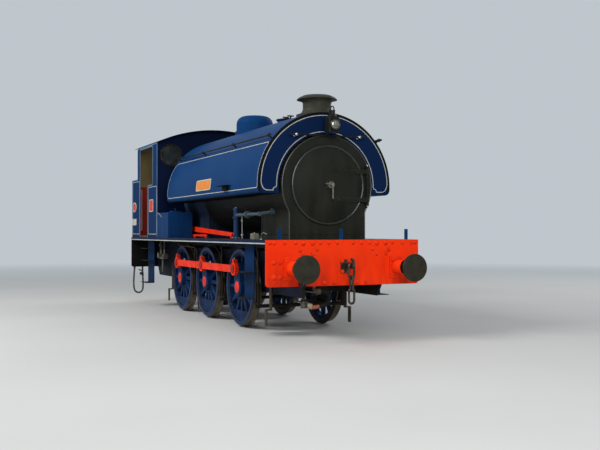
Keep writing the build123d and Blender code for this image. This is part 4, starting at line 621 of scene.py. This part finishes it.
def bend_path(points, radius, steps=6):
    """A 3-D path through points, with its corners rounded."""
    points = [Vector(point) for point in points]
    path = [points[0]]
    for index in range(1, len(points) - 1):
        here = points[index]
        before, after = points[index - 1] - here, points[index + 1] - here
        reach = min(radius, before.length * 0.48, after.length * 0.48)
        start, end = here + before.normalized() * reach, here + after.normalized() * reach
        for step in range(steps + 1):
            share = step / steps
            path.append(start * (1 - share) ** 2 + here * 2 * share * (1 - share) + end * share**2)
    path.append(points[-1])
    return path


# Surfaces that flat things are laid on: each takes (u, v, lift) and gives a point

def on_tank(side):
    """u is X, v is the height on the tank's round side."""
    def place(u, v, lift):
        radius = tank_r + 0.0006 + lift
        return (u, side * math.sqrt(radius**2 - (v - boiler_z) ** 2), v)
    return place


def on_side(side, y):
    """u is X and v is Z on an upright wall."""
    def place(u, v, lift):
        return (u, side * (y + lift), v)
    return place


def on_cross(x, facing):
    """u is Y and v is Z on a wall across the locomotive."""
    def place(u, v, lift):
        return (x + facing * lift, u, v)
    return place


# Camera, at the photograph's place
focal_px, image_px = 870.594, 600
sensor_mm = 36.0
camera_at = Vector((15.5353, -5.8995, 1.5977))
yaw, pitch = 0.4235064, 0.0079807
forward = Vector((-math.cos(yaw) * math.cos(pitch), math.sin(yaw) * math.cos(pitch), math.sin(pitch)))
right = forward.cross(Vector((0, 0, 1))).normalized()
up = right.cross(forward)
camera_data = bpy.data.cameras.new("camera")
camera_data.sensor_width = sensor_mm
camera_data.lens = focal_px * sensor_mm / image_px
camera_data.clip_end = 200.0
camera = add_object("camera", camera_data)
axes = Matrix((right, up, -forward)).transposed()
camera.matrix_world = Matrix.Translation(camera_at) @ axes.to_4x4()
bpy.context.scene.camera = camera

# Heating hoses: the front one bends round under its beam, the rear one hangs in a loop
hose_x = beam_x + 0.063
rib_high = 0.0022
hose_table = {  # name: (X, radius, real length, finish, rib pitch, its points in (Y, Z))
    "front_hose": (
        hose_x, 0.0335, 0.425, "hose_rubber", 0.013,
        (
            (-0.438, 0.732), (-0.365, 0.731), (-0.302, 0.691), (-0.285, 0.621), (-0.321, 0.559),
            (-0.389, 0.527), (-0.460, 0.520),
        ),
    ),
    "rear_hose": (
        -hose_x, 0.019, 1.040, "loop_rubber", 0.02,
        (
            (-1.176, 0.760), (-1.190, 0.588), (-1.196, 0.400), (-1.177, 0.276), (-1.135, 0.229),
            (-1.079, 0.213), (-1.023, 0.229), (-0.985, 0.278), (-0.976, 0.400), (-0.980, 0.503),
            (-0.986, 0.600),
        ),
    ),
}


def middle_line(piece):
    """The points that a curve's own line follows."""
    bare = piece.copy()
    bare.data = piece.data.copy()
    bare.data.bevel_depth = 0.0
    line = bpy.data.meshes.new_from_object(bare)
    points = [vertex.co.copy() for vertex in line.vertices]
    curve = bare.data
    bpy.data.objects.remove(bare)
    bpy.data.curves.remove(curve)
    bpy.data.meshes.remove(line)
    return points


for name, (x, radius, length, finish, rib_pitch, points) in hose_table.items():
    curve = bpy.data.curves.new(f"{name}_tube", "CURVE")
    curve.dimensions = "3D"
    curve.bevel_depth = radius
    curve.bevel_resolution = 5
    curve.resolution_u = 10
    curve.use_fill_caps = True
    spline = curve.splines.new("NURBS")
    spline.points.add(len(points) - 1)
    for point, (y, z) in zip(spline.points, points):
        point.co = (x, y, z, 1.0)
    spline.order_u = 3
    spline.use_endpoint_u = True
    tube = add_object(f"{name}_tube", curve, paint[finish])
    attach(tube, "locomotive")
    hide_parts(name)
    ribs = Shape()
    path = middle_line(tube)
    since_rib = rib_pitch / 2
    for before, here in zip(path, path[1:]):
        since_rib += (here - before).length
        if since_rib >= rib_pitch:
            since_rib -= rib_pitch
            ribs.ring(here - (here - before).normalized() * since_rib, here - before, radius, rib_high, 28, 6)
    ribs_piece = ribs.make(f"{name}_ribs", finish, slot="hose_rubber")
    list(points[0])

# Floor: far off it turns into the backdrop
BACKDROP = (0.52, 0.57, 0.61, 1.0)
floor_half = 60.0
fade_from, fade_to = 9.0, 30.0
floor_mesh = bpy.data.meshes.new("floor")
floor_corners = [(x * floor_half, y * floor_half, 0) for x, y in product(SIDES, SIDES)]
floor_mesh.from_pydata(floor_corners, [], [(0, 2, 3, 1)])
floor = add_object("floor", floor_mesh, paint["floor_pale"])
net = Net(paint["floor_pale"].node_tree)
away = net.put("ShaderNodeVectorMath", {0: net.place("at")}, operation="LENGTH")["Value"]
seen = net.put("ShaderNodeLightPath", {})["Is Camera Ray"]
share = net.math("MULTIPLY", net.spread(away, fade_from, fade_to), seen)
near_look = net.tree.nodes["Principled BSDF"].outputs["BSDF"]
far_look = net.put("ShaderNodeEmission", {"Color": BACKDROP})["Emission"]
look = net.mix_looks(share, near_look, far_look)
net.tree.links.new(look, net.tree.nodes["Material Output"].inputs["Surface"])

# Lights
light_table = (  # name, place, target, size, power
    ("key", (1.0, -13.0, 12.0), (0.0, 0.0, 1.8), 6.0, 1850.0),
    ("front_fill", (18.0, -4.0, 7.0), (2.0, 0.0, 2.0), 8.0, 1250.0),
    ("back_fill", (-4.0, 16.0, 12.0), (0.0, 0.0, 2.0), 9.0, 800.0),
)
for name, place, target, size, power in light_table:
    data = bpy.data.lights.new(name, "AREA")
    data.shape = "SQUARE"
    data.size = size
    data.energy = power
    way = Vector(target) - Vector(place)
    lamp = add_object(name, data)
    lamp.matrix_world = Matrix.Translation(place) @ way.to_track_quat("-Z", "Y").to_matrix().to_4x4()

# World: the backdrop for what is seen, mirrored or seen through, and a cooler light for the rest
world = bpy.data.worlds.new("studio")
bpy.context.scene.world = world
world.use_nodes = True
net = Net(world.node_tree)
ambient = net.put("ShaderNodeBackground", {"Color": (0.85, 0.93, 1.0, 1.0), "Strength": 0.4})["Background"]
backdrop = net.tree.nodes["Background"]
backdrop.inputs["Color"].default_value = BACKDROP
backdrop.inputs["Strength"].default_value = 1.0
rays = net.put("ShaderNodeLightPath", {})
mirrored = net.math("MAXIMUM", rays["Is Glossy Ray"], rays["Is Transmission Ray"])
seen = net.math("MAXIMUM", rays["Is Camera Ray"], mirrored)
look = net.mix_looks(seen, ambient, backdrop.outputs["Background"])
net.tree.links.new(look, net.tree.nodes["World Output"].inputs["Surface"])
bpy.context.scene.view_settings.view_transform = "Standard"

# Cream lining
line_width, line_thick = 0.012, 0.0008
line_seat = 0.0005
lining = Shape()
# each end of the tank: an outer and an inner arc joined at their feet, with a notch at the inner corner
outer_r, inner_r = tank_r - 0.052, 0.83
foot_z = tank_low.z + 0.05
foot_round = 0.12
notch = 0.05
foot_turn = math.degrees(math.asin((boiler_z - foot_z - foot_round) / outer_r))
inner_turn = math.degrees(math.asin((boiler_z - foot_z - notch - 0.03) / inner_r))
half_foot = [
    (-outer_r + 0.015, foot_z + 0.07), (-outer_r + 0.035, foot_z + 0.03), (-outer_r + 0.07, foot_z + 0.006),
    (-outer_r + 0.11, foot_z), (-inner_r - 0.06, foot_z), (-inner_r - 0.052, foot_z + 0.028),
    (-inner_r - 0.036, foot_z + notch - 0.006), (-inner_r - 0.01, foot_z + notch),
]
horseshoe = arc((0, boiler_z), outer_r, -foot_turn, 180 + foot_turn, 96)
horseshoe += half_foot
horseshoe += arc((0, boiler_z), inner_r, 180 + inner_turn, -inner_turn, 96)
horseshoe += [(-u, v) for u, v in reversed(half_foot)]
lining.ribbon(horseshoe, line_width, on_cross(tank_front_x + line_seat, 1), line_thick)
lining.ribbon(horseshoe, line_width, on_cross(tank_back_x - line_seat, -1), line_thick)
# the tank's sides
panel_low, panel_high = tank_low.z + 0.087, boiler_z + 0.64
panel_front, panel_back = tank_front_x - 0.022, tank_back_x + 0.060
side_panel = finer(
    rounded([
        (panel_front, panel_low, 0.05), (panel_front, panel_high, 0.05),
        (panel_back, panel_high, 0.16), (panel_back, panel_low, 0.1),
    ]),
    0.05,
)
# the sides and the back of the cab and bunker
panel_round, panel_foot = 0.05, beam_top + 0.07
for side in SIDES:
    lining.ribbon(side_panel, line_width, on_tank(side), line_thick)
    for back, front, high in (
        (bunker_x + 0.05, door_rear_x - 0.06, bunker_top - 0.05),
        (door_front_x + 0.07, cab_front_x - 0.06, waist_z - 0.05),
    ):
        outline = panel(back, front, panel_foot, high, panel_round)
        lining.ribbon(outline, line_width, on_side(side, side_y), line_thick)
rear_panel = panel(-side_y + 0.07, side_y - 0.07, panel_foot, bunker_top - 0.06, panel_round)
lining.ribbon(rear_panel, line_width, on_cross(bunker_x, -1), line_thick)
lining.make("cream_lining", "lining_cream", smooth=30)

# Beading: half-round strips round the cab's openings, its corners and the bunker's top
bead_wide, bead_proud = 0.026, 0.007
half_bead = bead_wide / 2
beading = Shape()
opening = rounded(
    [
        (door_rear_x - half_bead, beam_top, 0), (door_rear_x - half_bead, window_top + half_bead, 0.06),
        (window_front_x + half_bead, window_top + half_bead, 0.06),
        (window_front_x + half_bead, waist_z - half_bead, 0.06),
        (door_front_x + half_bead, waist_z - half_bead, 0.06), (door_front_x + half_bead, beam_top, 0),
    ],
    closed=False,
)
foot_edge_z, bunker_edge_z, roof_edge_z = beam_top + 0.01, bunker_top - 0.013, roof_z - 0.012
front_edge_x, rear_edge_x, bunker_edge_x = cab_front_x - 0.014, cab_rear_x + 0.012, bunker_x + 0.014
outer_edge = rounded(
    [
        (front_edge_x, foot_edge_z, 0), (front_edge_x, roof_edge_z, 0.02), (rear_edge_x, roof_edge_z, 0.02),
        (rear_edge_x, bunker_edge_z, 0.03), (bunker_edge_x, bunker_edge_z, 0.02),
        (bunker_edge_x, foot_edge_z, 0),
    ],
    closed=False,
)
for side in SIDES:
    for outline in (opening, outer_edge):
        beading.ribbon(outline, bead_wide, on_side(side, side_y - 0.001), bead_proud, closed=False)
beading.make("cab_beading", "bead_blue", slot="blue_paint", bevel=0.002)

# The rims of the smokebox's front and of its door
rim_bar, door_bar = 0.011, 0.015
rim = Shape()
waist_y = saddle_half + saddle_waist
waist_at = boiler_z - math.sqrt((smokebox_r + saddle_waist) ** 2 - waist_y**2)
lean = math.degrees(math.atan2(waist_at - boiler_z, waist_y))
half_rim = [(saddle_half, beam_top + 0.002)] + arc((waist_y, waist_at), saddle_waist, 180, 180 + lean, 6)
half_rim += arc((0, boiler_z), smokebox_r, lean, 90, 48)
whole_rim = half_rim + [(-y, z) for y, z in reversed(half_rim[:-1])]
rim.tube([(smokebox_x - 0.003, y * 0.995, z) for y, z in whole_rim], rim_bar, 8)
rim.make("smokebox_rim", "rim_black", slot="smokebox_black")
door_ring = Shape()
door_ring.ring((door_x + 0.02, 0, boiler_z), (1, 0, 0), door_r - 0.016, door_bar, 96)
door_ring.make("door_ring", "rim_black", body="front_door", slot="smokebox_black")

# Plates, all blank: a raised rim round a field
plate_thick, plate_rim, rim_proud = 0.006, 0.018, 0.003
plate_run = 0.03


def blank_plate(name, outline, place, field):
    """A plate with a pale rim."""
    body, edge = Shape(), Shape()
    body.slab(finer(outline, plate_run), place, plate_thick)
    edge.ribbon(finer(outline, plate_run), plate_rim, place, plate_thick + rim_proud)
    body.make(name, field)
    edge.make(f"{name}_rim", "lining_cream")


def plate_outline(middle, size, corner):
    """A rounded oblong about its middle."""
    (u, v), (half_u, half_v) = middle, (value / 2 for value in size)
    return panel(u - half_u, u + half_u, v - half_v, v + half_v, corner, 6)


name_plate = ((0.805, rail + 2.395), (0.80, 0.175), 0.03)  # middle, size and corner
cab_plate = ((-2.345, rail + 2.12), (0.30, 0.24), 0.03)
badge_middle, badge_half = (-3.80, rail + 2.12), (0.155, 0.10)
small_plate = ((-3.82, rail + 1.79), (0.36, 0.125), 0.012)
oval = [
    tuple(middle + half * along for middle, half, along in zip(badge_middle, badge_half, point))
    for point in arc((0, 0), 1, 0, 348, 29)
]
for side, hand in HANDS:
    blank_plate(f"name_plate_{hand}", plate_outline(*name_plate), on_tank(side), "plate_orange")
    blank_plate(f"cab_plate_{hand}", plate_outline(*cab_plate), on_side(side, side_y), "badge_red")
    blank_plate(f"badge_{hand}", oval, on_side(side, side_y), "badge_red")
    blank_plate(f"small_plate_{hand}", plate_outline(*small_plate), on_side(side, side_y), "lining_cream")

# Nuts on the buffer beams, as (Y from the middle, Z above the rail, size), each with a painted shadow below
# it
nut, big_nut = 0.042, 0.052
beam_nuts = [(y, 1.415, nut) for y in (1.203, 1.142, 0.976, 0.804, 0.410, 0.270, 0.130)]
beam_nuts += [(0.683, 1.412, big_nut), (0.530, 1.412, big_nut)]
beam_nuts += [(0.738, 1.316, big_nut), (0.459, 1.321, nut), (0.690, 1.252, nut), (0.530, 1.247, nut)]
beam_nuts += [(y, z, big_nut) for y in (1.145, 1.048) for z in (1.139, 0.922)]
beam_nuts += [(0.340, 0.828, nut), (0.190, 0.828, nut)]
buffer_y, buffer_z, stock_plate = 0.870, rail + 1.045, 0.026
stock_nut = (0.083, 0.107)  # from the buffer's middle, across and up
hook_nut, hook_z, hook_plate = (0.055, 0.078), rail + 1.065, 0.020
nuts, nut_shadows = Shape(), Shape()
for end, side in product(SIDES, SIDES):
    way = (end, 0, 0)
    for y, z, size in beam_nuts:
        nuts.bolt((end * beam_x, side * y, rail + z), way, size)
        # a dark red disc set below each nut and to one side of it is a painted shadow
        under = (end * beam_x, side * y + 0.1 * size, rail + z - 0.16 * size)
        nut_shadows.lathe(under, way, [(0.0, size * 0.70), (0.0015, size * 0.66)], 20)
    for across, rise in product(SIDES, SIDES):
        y, z = side * (buffer_y + across * stock_nut[0]), buffer_z + rise * stock_nut[1]
        nuts.bolt((end * (beam_x + stock_plate), y, z), way, big_nut)
    for rise in SIDES:
        nuts.bolt((end * (beam_x + hook_plate), side * hook_nut[0], hook_z + rise * hook_nut[1]), way, nut)
nuts.make("beam_nuts", "stock_red", slot="red_paint", smooth=25)
nut_shadows.make("nut_painted_shadow", "nut_painted_shadow", slot="red_paint")

# Rivets round the smokebox's foot and up its front; on its door, nuts on the straps and a ring for the dart
foot_rivet, front_rivet, foot_row_z = 0.019, 0.016, rail + 1.54
dark = Shape()
for step in range(11):
    dark.rivet((smokebox_x, -0.595 + 0.119 * step, foot_row_z), (1, 0, 0), foot_rivet)
for side in SIDES:
    for step in range(9):
        x = smokebox_back_x + 0.09 + 0.12 * step
        dark.rivet((x, side * saddle_half, foot_row_z), (0, side, 0), foot_rivet)
    for z in (1.66, 1.78):
        dark.rivet((smokebox_x, side * 0.6, rail + z), (1, 0, 0), front_rivet)
dark.make("smokebox_rivets", "smokebox_black", slot="smokebox_black")
strap_nuts = Shape()
strap_rise, strap_thick, strap_nut = 0.220, 0.016, 0.026
dish_deep, dish_fall, dish_r = 0.1045, 0.092, 0.584  # the door's dish: depth in the middle, fall, radius
for rise in (-strap_rise, strap_rise):
    for y in (0.14, 0.29, 0.44):
        depth = dish_deep - dish_fall * (math.hypot(rise, y) / dish_r) ** 2
        strap_nuts.bolt((door_x + depth + strap_thick, y, boiler_z + rise), (1, 0, 0), strap_nut)
strap_nuts.ring((door_x + 0.106, 0, boiler_z), (1, 0, 0), 0.07, 0.008, 40)
strap_nuts.make("door_strap_nuts", "smokebox_black", body="front_door", slot="smokebox_black")

# Small turned parts, as (sides of their round, [(distance along the axis, radius), ...])
TURNED = {
    "hinge_cap": (20, [(0, 0.021), (0.012, 0.021), (0.022, 0.012)]),
    "axle_disc": (48, [(-0.01, 0.098), (0.001, 0.098), (0.0018, 0.095)]),
    "pin_cap": (32, [(-0.002, 0.05), (0.002, 0.05), (0.0035, 0.044)]),
    "rod_cap": (20, [(-0.006, 0.024), (0.004, 0.024), (0.006, 0.015), (0.02, 0.013), (0.024, 0.008)]),
    "oil_pot": (20, [(0.0, 0.03), (0.006, 0.03), (0.008, 0.024), (0.040, 0.024), (0.048, 0.012)]),
    "lens": (40, [(0, 0.068), (0.005, 0.062), (0.010, 0.050), (0.014, 0.032), (0.0155, 0.012)]),
    "painted_glint": (20, [(-0.006, 0.018), (0.003, 0.014), (0.005, 0.006)]),
    "lever_boss": (20, [(-0.012, 0.012), (0, 0.019), (0.018, 0.019), (0.026, 0.008)]),
    "lid_knob": (24, [
        (0, 0.03), (0.006, 0.03), (0.01, 0.012), (0.03, 0.01), (0.04, 0.02), (0.052, 0.02), (0.06, 0.008),
    ]),
    "rod_foot": (16, [(0, 0.020), (0.03, 0.020), (0.036, 0.012)]),
    "rod_head": (16, [(0, 0.016), (0.03, 0.016), (0.036, 0.0096)]),
    "handle_foot": (20, [(0, 0.034), (0.01, 0.034), (0.014, 0.02)]),
    "oiler_cap": (20, [(0, 0.018), (0.012, 0.018), (0.015, 0.01)]),
    "post_cap": (6, [(-0.004, 0.036), (0.0, 0.036), (0.0, 0.018), (0.012, 0.016)]),
    "union": (6, [(0, 0.030), (0.005, 0.036), (0.035, 0.036), (0.04, 0.030)]),
    "collar": (20, [(0, 0.026), (0.008, 0.026), (0.012, 0.016)]),
    "collar_end": (20, [(0, 0.018), (0.028, 0.022), (0.034, 0.01)]),
    "sand_union": (6, [(0, 0.024), (0.03, 0.024)]),
    "gauge": (40, [(-0.04, 0.05), (-0.02, 0.086), (0.03, 0.086), (0.04, 0.078), (0.034, 0.07)]),
    "dial": (40, [(-0.01, 0.069), (0.002, 0.069)]),
}

# The rubbed ends of the smokebox door's hinge rod
bright = Shape()
for rise in SIDES:
    bright.turned((smokebox_x + 0.042, 0.668, boiler_z + rise * 0.31), (0, 0, rise), "hinge_cap")
bright.make("hinge_caps", "bright_steel", slot="bright_steel")

# Wheels: red discs on the axle ends, a cap on each crank pin, and on the rods their oil caps and pots
crank = {-1: (0.0, 1.0), 1: (-1.0, 0.0)}  # side: way of its crank
pins = {
    (side, place): (x + crank[side][0] * pin_throw, axle_z + crank[side][1] * pin_throw)
    for place, x in axle_x.items() for side in SIDES
}
pin_proud, boss_r, rod_half = 0.131, 0.112, 0.052
pot_ahead, rod_middle_y = 0.48, rod_y - 0.033
for place, x in axle_x.items():
    discs, caps = Shape(), Shape()
    for side in SIDES:
        pin_x, pin_z = pins[side, place]
        discs.turned((x, side * hub_y, axle_z), (0, side, 0), "axle_disc")
        caps.turned((pin_x, side * (wheel_face[place] + pin_proud), pin_z), (0, side, 0), "pin_cap")
    discs.make(f"{place}_axle_discs", "rod_red", body=f"{place}_wheelset", slot="red_paint")
    caps.make(f"{place}_pin_caps", "greased_steel", body=f"{place}_wheelset", slot="greased_steel")
for side, hand in HANDS:
    caps = Shape()
    y = side * rod_middle_y
    for place in axle_x:
        pin_x, pin_z = pins[side, place]
        caps.turned((pin_x, y, pin_z + boss_r + rod_half), (0, 0, 1), "rod_cap")
        if place != "leading":
            caps.turned((pin_x + pot_ahead, y, pin_z + rod_half), (0, 0, 1), "oil_pot")
    caps.make(f"rod_caps_{hand}", "bright_steel", body=f"rods_{hand}", slot="bright_steel")

# Headlamp: lens, a bright boss on the lens that is a painted highlight, bezel and the vent's rims
lens_x, lens_z = lamp_high.x + 0.010, lamp_low.z + 0.118
lens, glint, bezel, vent = Shape(), Shape(), Shape(), Shape()
lens.turned((lens_x - 0.014, 0, lens_z), (1, 0, 0), "lens")
lens.make("lamp_lens", "lamp_lens")
# a small bright steel boss off the lens's middle is a painted highlight
glint.turned((lens_x - 0.001, -0.008, lens_z + 0.014), (1, 0, 0), "painted_glint")
glint.make("lamp_painted_glint", "bright_steel")
bezel.ring((lens_x - 0.012, 0, lens_z), (1, 0, 0), 0.073, 0.008, 48)
bezel.make("lamp_bezel", "greased_steel")
for rise, radius in ((0.25, 0.080), (0.29, 0.052), (0.343, 0.048)):
    vent.ring(((lamp_low.x + lamp_high.x) / 2 - 0.017, 0, lamp_low.z + rise), (0, 0, 1), radius, 0.004, 40)
vent.make("lamp_vent_rims", "lamp_black")

# Front windows: a nutted rim; the rear windows have guard bars
rims = Shape()
rim_x, rim_out, rim_r = cab_front_x + 0.016, spectacle_r + 0.014, 0.013
rim_nut_r, rim_nut = spectacle_r + 0.021, 0.016
for side in SIDES:
    for y, z in arc((side * spectacle_y, spectacle_z), rim_nut_r, 22.5, 337.5, 7):
        rims.bolt((rim_x, y, z), (1, 0, 0), rim_nut)
    rims.ring((rim_x, side * spectacle_y, spectacle_z), (1, 0, 0), rim_out, rim_r)
window_y, window_z, guard_half = 0.640, rail + 3.02, 0.162
guard_x, guard_pitch, guard_r = cab_rear_x - 0.030, 0.06, 0.006
for side in SIDES:
    for step in range(5):
        y = side * window_y + (step - 2) * guard_pitch
        rims.tube([(guard_x, y, window_z - guard_half), (guard_x, y, window_z + guard_half)], guard_r, 8)
rims.make("window_rims", "lamp_black")

# Sandboxes: a lever on each side, and a knob and two nuts on each lid
lid_x, lid_z = sand_high.x - 0.32, sand_high.z - 0.001
levers, knobs = Shape(), Shape()
for side in SIDES:
    inner_y, outer_y = side * (sand_high.y - 0.008), side * (sand_high.y + 0.004)
    path = bend_path([(-1.80, inner_y, 1.972), (-1.72, outer_y, 1.972), (-1.50, outer_y, 1.896)], 0.03)
    levers.tube(path, 0.011, 10)
    levers.turned(path[0], (-1, 0, 0), "lever_boss")
    knobs.turned((lid_x, side * (sand_high.y - 0.24), lid_z), (0, 0, 1), "lid_knob")
    for x in (lid_x - 0.07, lid_x + 0.07):
        knobs.bolt((x, side * (sand_high.y - 0.17), lid_z), (0, 0, 1), 0.02)
levers.make("sand_levers", "bright_steel", slot="bright_steel")
knobs.make("sandbox_knobs", "engine_blue", slot="blue_paint")

# Rivets along the edges of the bunker's back
sheet_rivet = 0.010
rivets = Shape()
for side in SIDES:
    for step in range(9):
        z = beam_top + 0.12 + 0.12 * step
        rivets.rivet((bunker_x, side * (side_y - 0.03), z), (-1, 0, 0), sheet_rivet)
for step in range(19):
    for z in (beam_top + 0.03, bunker_top - 0.035):
        rivets.rivet((bunker_x, -1.134 + 0.126 * step, z), (-1, 0, 0), sheet_rivet)
rivets.make("bunker_rivets", "engine_blue", slot="blue_paint")

# Small fittings beside the smokebox: a bright rod on the running plate and a low handle
small = Shape()
rod_x, rod_z, post_y = 2.15, rail + 1.845, -0.905
small.tube([(rod_x, post_y, beam_top), (rod_x, post_y, rod_z)], 0.008, 10)
small.turned((rod_x, post_y, beam_top + 0.05), (0, 0, 1), "rod_foot")
small.turned((rod_x, post_y, rail + 1.74), (0, 0, 1), "rod_head")
handle = [(3.23, -1.0, beam_top), (3.24, -1.0, 1.56), (3.33, -1.0, 1.588), (3.47, -1.0, 1.56)]
small.tube(bend_path(handle, 0.04), 0.011, 10)
small.turned(handle[0], (0, 0, 1), "handle_foot")
small.make("deck_fittings", "bright_steel", slot="bright_steel")

# Lubricator: its pipes down through the running plate, and its cap
oil = Shape()
oil_x, oil_y = (oiler_low.x + oiler_high.x) / 2, oiler_low.y + 0.045
for along in (-0.045, 0.0, 0.045):
    route = ((0.04, 0.05), (0.09, 0.05), (0.09, 0.002))
    path = [(oil_x + along, oil_y + out, beam_top + rise) for out, rise in route]
    oil.tube(bend_path(path, 0.03), 0.005, 8)
oil.turned((oil_x, oil_y, oiler_high.z - 0.001), (0, 0, 1), "oiler_cap")
oil.make("oil_pipes", "copper")

# Ejector pipe's flange nuts and unions
flanges, unions = Shape(), Shape()
post_x, flange_r, flange_nut = smokebox_back_x - 0.485, 0.058, 0.018
for x, y in arc((post_x, post_y), flange_r, 30, 330, 5):
    flanges.bolt((x, y, beam_top + 0.016), (0, 0, 1), flange_nut)
flanges.turned((post_x, post_y, pipe_top), (0, 0, 1), "post_cap")
flanges.make("ejector_nuts", "bright_steel", slot="bright_steel")
for x in (2.02, 2.62):
    unions.turned((x, post_y, rail + 1.85), (1, 0, 0), "union")
unions.make("ejector_unions", "pipe_blue", slot="pipe_blue")

# Front handrail: a bright collar where each pillar meets the tank, and one at its rail
collars = Shape()
for y in (-0.54, 0.54):
    collars.turned((tank_front_x, y, rail + 3.05), (1, 0, 0), "collar")
    collars.turned((tank_front_x + 0.074, y, rail + 3.05), (1, 0, 0), "collar_end")
collars.make("front_rail_collars", "bright_steel", slot="bright_steel")

# Leaf springs: the edges of the leaves
leaves = Shape()
top_leaf_z, leaf_pitch, leaf_thick = spring_high.z - 0.2325, 0.014, 0.0055
leaf_half, leaf_proud = 0.398, 0.002
for x in axle_x.values():
    for side in SIDES:
        for index, share in enumerate((1.0, 0.82, 0.64, 0.46, 0.3)):
            y, z, half = side * spring_high.y, top_leaf_z - index * leaf_pitch, leaf_half * share
            leaves.box((x - half, y - leaf_proud, z - leaf_thick), (x + half, y + leaf_proud, z + leaf_thick))
leaves.make("spring_leaves", "bare_iron", slot="black_metal")

# Bolts on the frames: round each horn, along the stretchers and over the cylinders
horn_rivet, stretcher_rivet, cylinder_bolt = 0.014, 0.013, 0.026
frame_bolts = Shape()
for side in SIDES:
    way = (0, side, 0)
    for x in axle_x.values():
        for across, z in product((-0.165, 0.165), (0.60, 0.72, 0.84)):
            frame_bolts.rivet((x + across, side * frame_y, rail + z), way, horn_rivet)
    for x, z in product((3.76, 1.18, 0.64, -2.42, -3.25), (1.26, 1.33, 1.40)):
        frame_bolts.rivet((x, side * frame_y, z), way, stretcher_rivet)
    for column, z in product(range(6), (0.74, 1.30, 1.38)):
        frame_bolts.bolt((2.52 + 0.15 * column, side * frame_y, z), way, cylinder_bolt)
frame_bolts.make("frame_bolts", "frame_black", slot="black_metal")

# Sanding pipes, from the boxes down behind the driving wheels and ahead of the trailing ones
pipes = Shape()
for side in SIDES:
    path = [
        (-1.20, side * 1.0, deck_low.z + 0.05), (-1.20, side * 0.99, 1.33), (-0.745, side * 0.76, 1.30),
        (-0.725, side * 0.755, 0.42), (-0.66, side * 0.752, 0.11),
    ]
    pipes.tube(bend_path(path, 0.12), 0.016, 12)
    pipes.turned((-0.728, side * 0.7555, 0.60), (0, 0, 1), "sand_union")
pipes.make("sand_pipes", "bare_iron", slot="black_metal")

# Backhead: gauges with their pipes, and valves with their hand wheels
gauge_y, gauge_z = (-0.28, 0.30), rail + 2.82
valve_x, wheel_r = backhead_x - 0.11, 0.042
back, dials, marks = Shape(), Shape(), Shape()
for y in gauge_y:
    siphon_x = backhead_x - 0.06
    back.turned((backhead_x - 0.05, y, gauge_z), (-1, 0, 0), "gauge")
    siphon = [(backhead_x, y, rail + 2.62), (siphon_x, y, rail + 2.64), (siphon_x, y, gauge_z - 0.08)]
    back.tube(bend_path(siphon, 0.04), 0.008)
for y, z in ((-0.42, 2.45), (-0.42, 2.2), (0.42, 2.45), (0.42, 2.2), (0.16, 2.72), (-0.14, 2.7)):
    hub = Vector((valve_x, y, rail + z))
    back.tube([(backhead_x, y, rail + z), hub], 0.010)
    back.ring(hub, (1, 0, 0), wheel_r, 0.006, 28)
    for angle in turns(4):
        spoke = Vector((0, math.cos(angle), math.sin(angle)))
        back.tube([hub, hub + spoke * wheel_r], 0.004, 6)
back.make("backhead_brass", "brass", slot="brass")
for y in gauge_y:
    dials.turned((backhead_x - 0.082, y, gauge_z), (-1, 0, 0), "dial")
    middle = Vector((backhead_x - 0.0845, y, gauge_z))
    for across, rise in arc((0, 0), 1, -40, 220, 10):
        way = Vector((0, across, rise))
        marks.tube([middle + way * 0.048, middle + way * 0.062], 0.0014, 6)
    hand_x = backhead_x - 0.086
    marks.tube([(hand_x, y, rail + 2.80), (hand_x, y + 0.02, rail + 2.868)], 0.002, 6)
dials.make("gauge_dials", "dial_white")
marks.make("gauge_marks", "lamp_black")

# Copper pipes on each side of the backhead: (radius, its points as ahead of it, out, above the rail)
copper_pipes = (
    (0.013, ((-0.02, 0.42, 2.45), (-0.07, 0.42, 2.56), (-0.07, 0.52, 2.86), (0.02, 0.60, 3.02))),
    (0.016, ((-0.02, 0.42, 2.2), (-0.06, 0.42, 2.0), (-0.06, 0.50, 1.7), (-0.06, 0.50, 1.5))),
)
copper = Shape()
for side in SIDES:
    for radius, points in copper_pipes:
        path = [(backhead_x + ahead, side * out, rail + rise) for ahead, out, rise in points]
        copper.tube(bend_path(path, 0.08), radius)
copper.make("backhead_pipes", "copper")
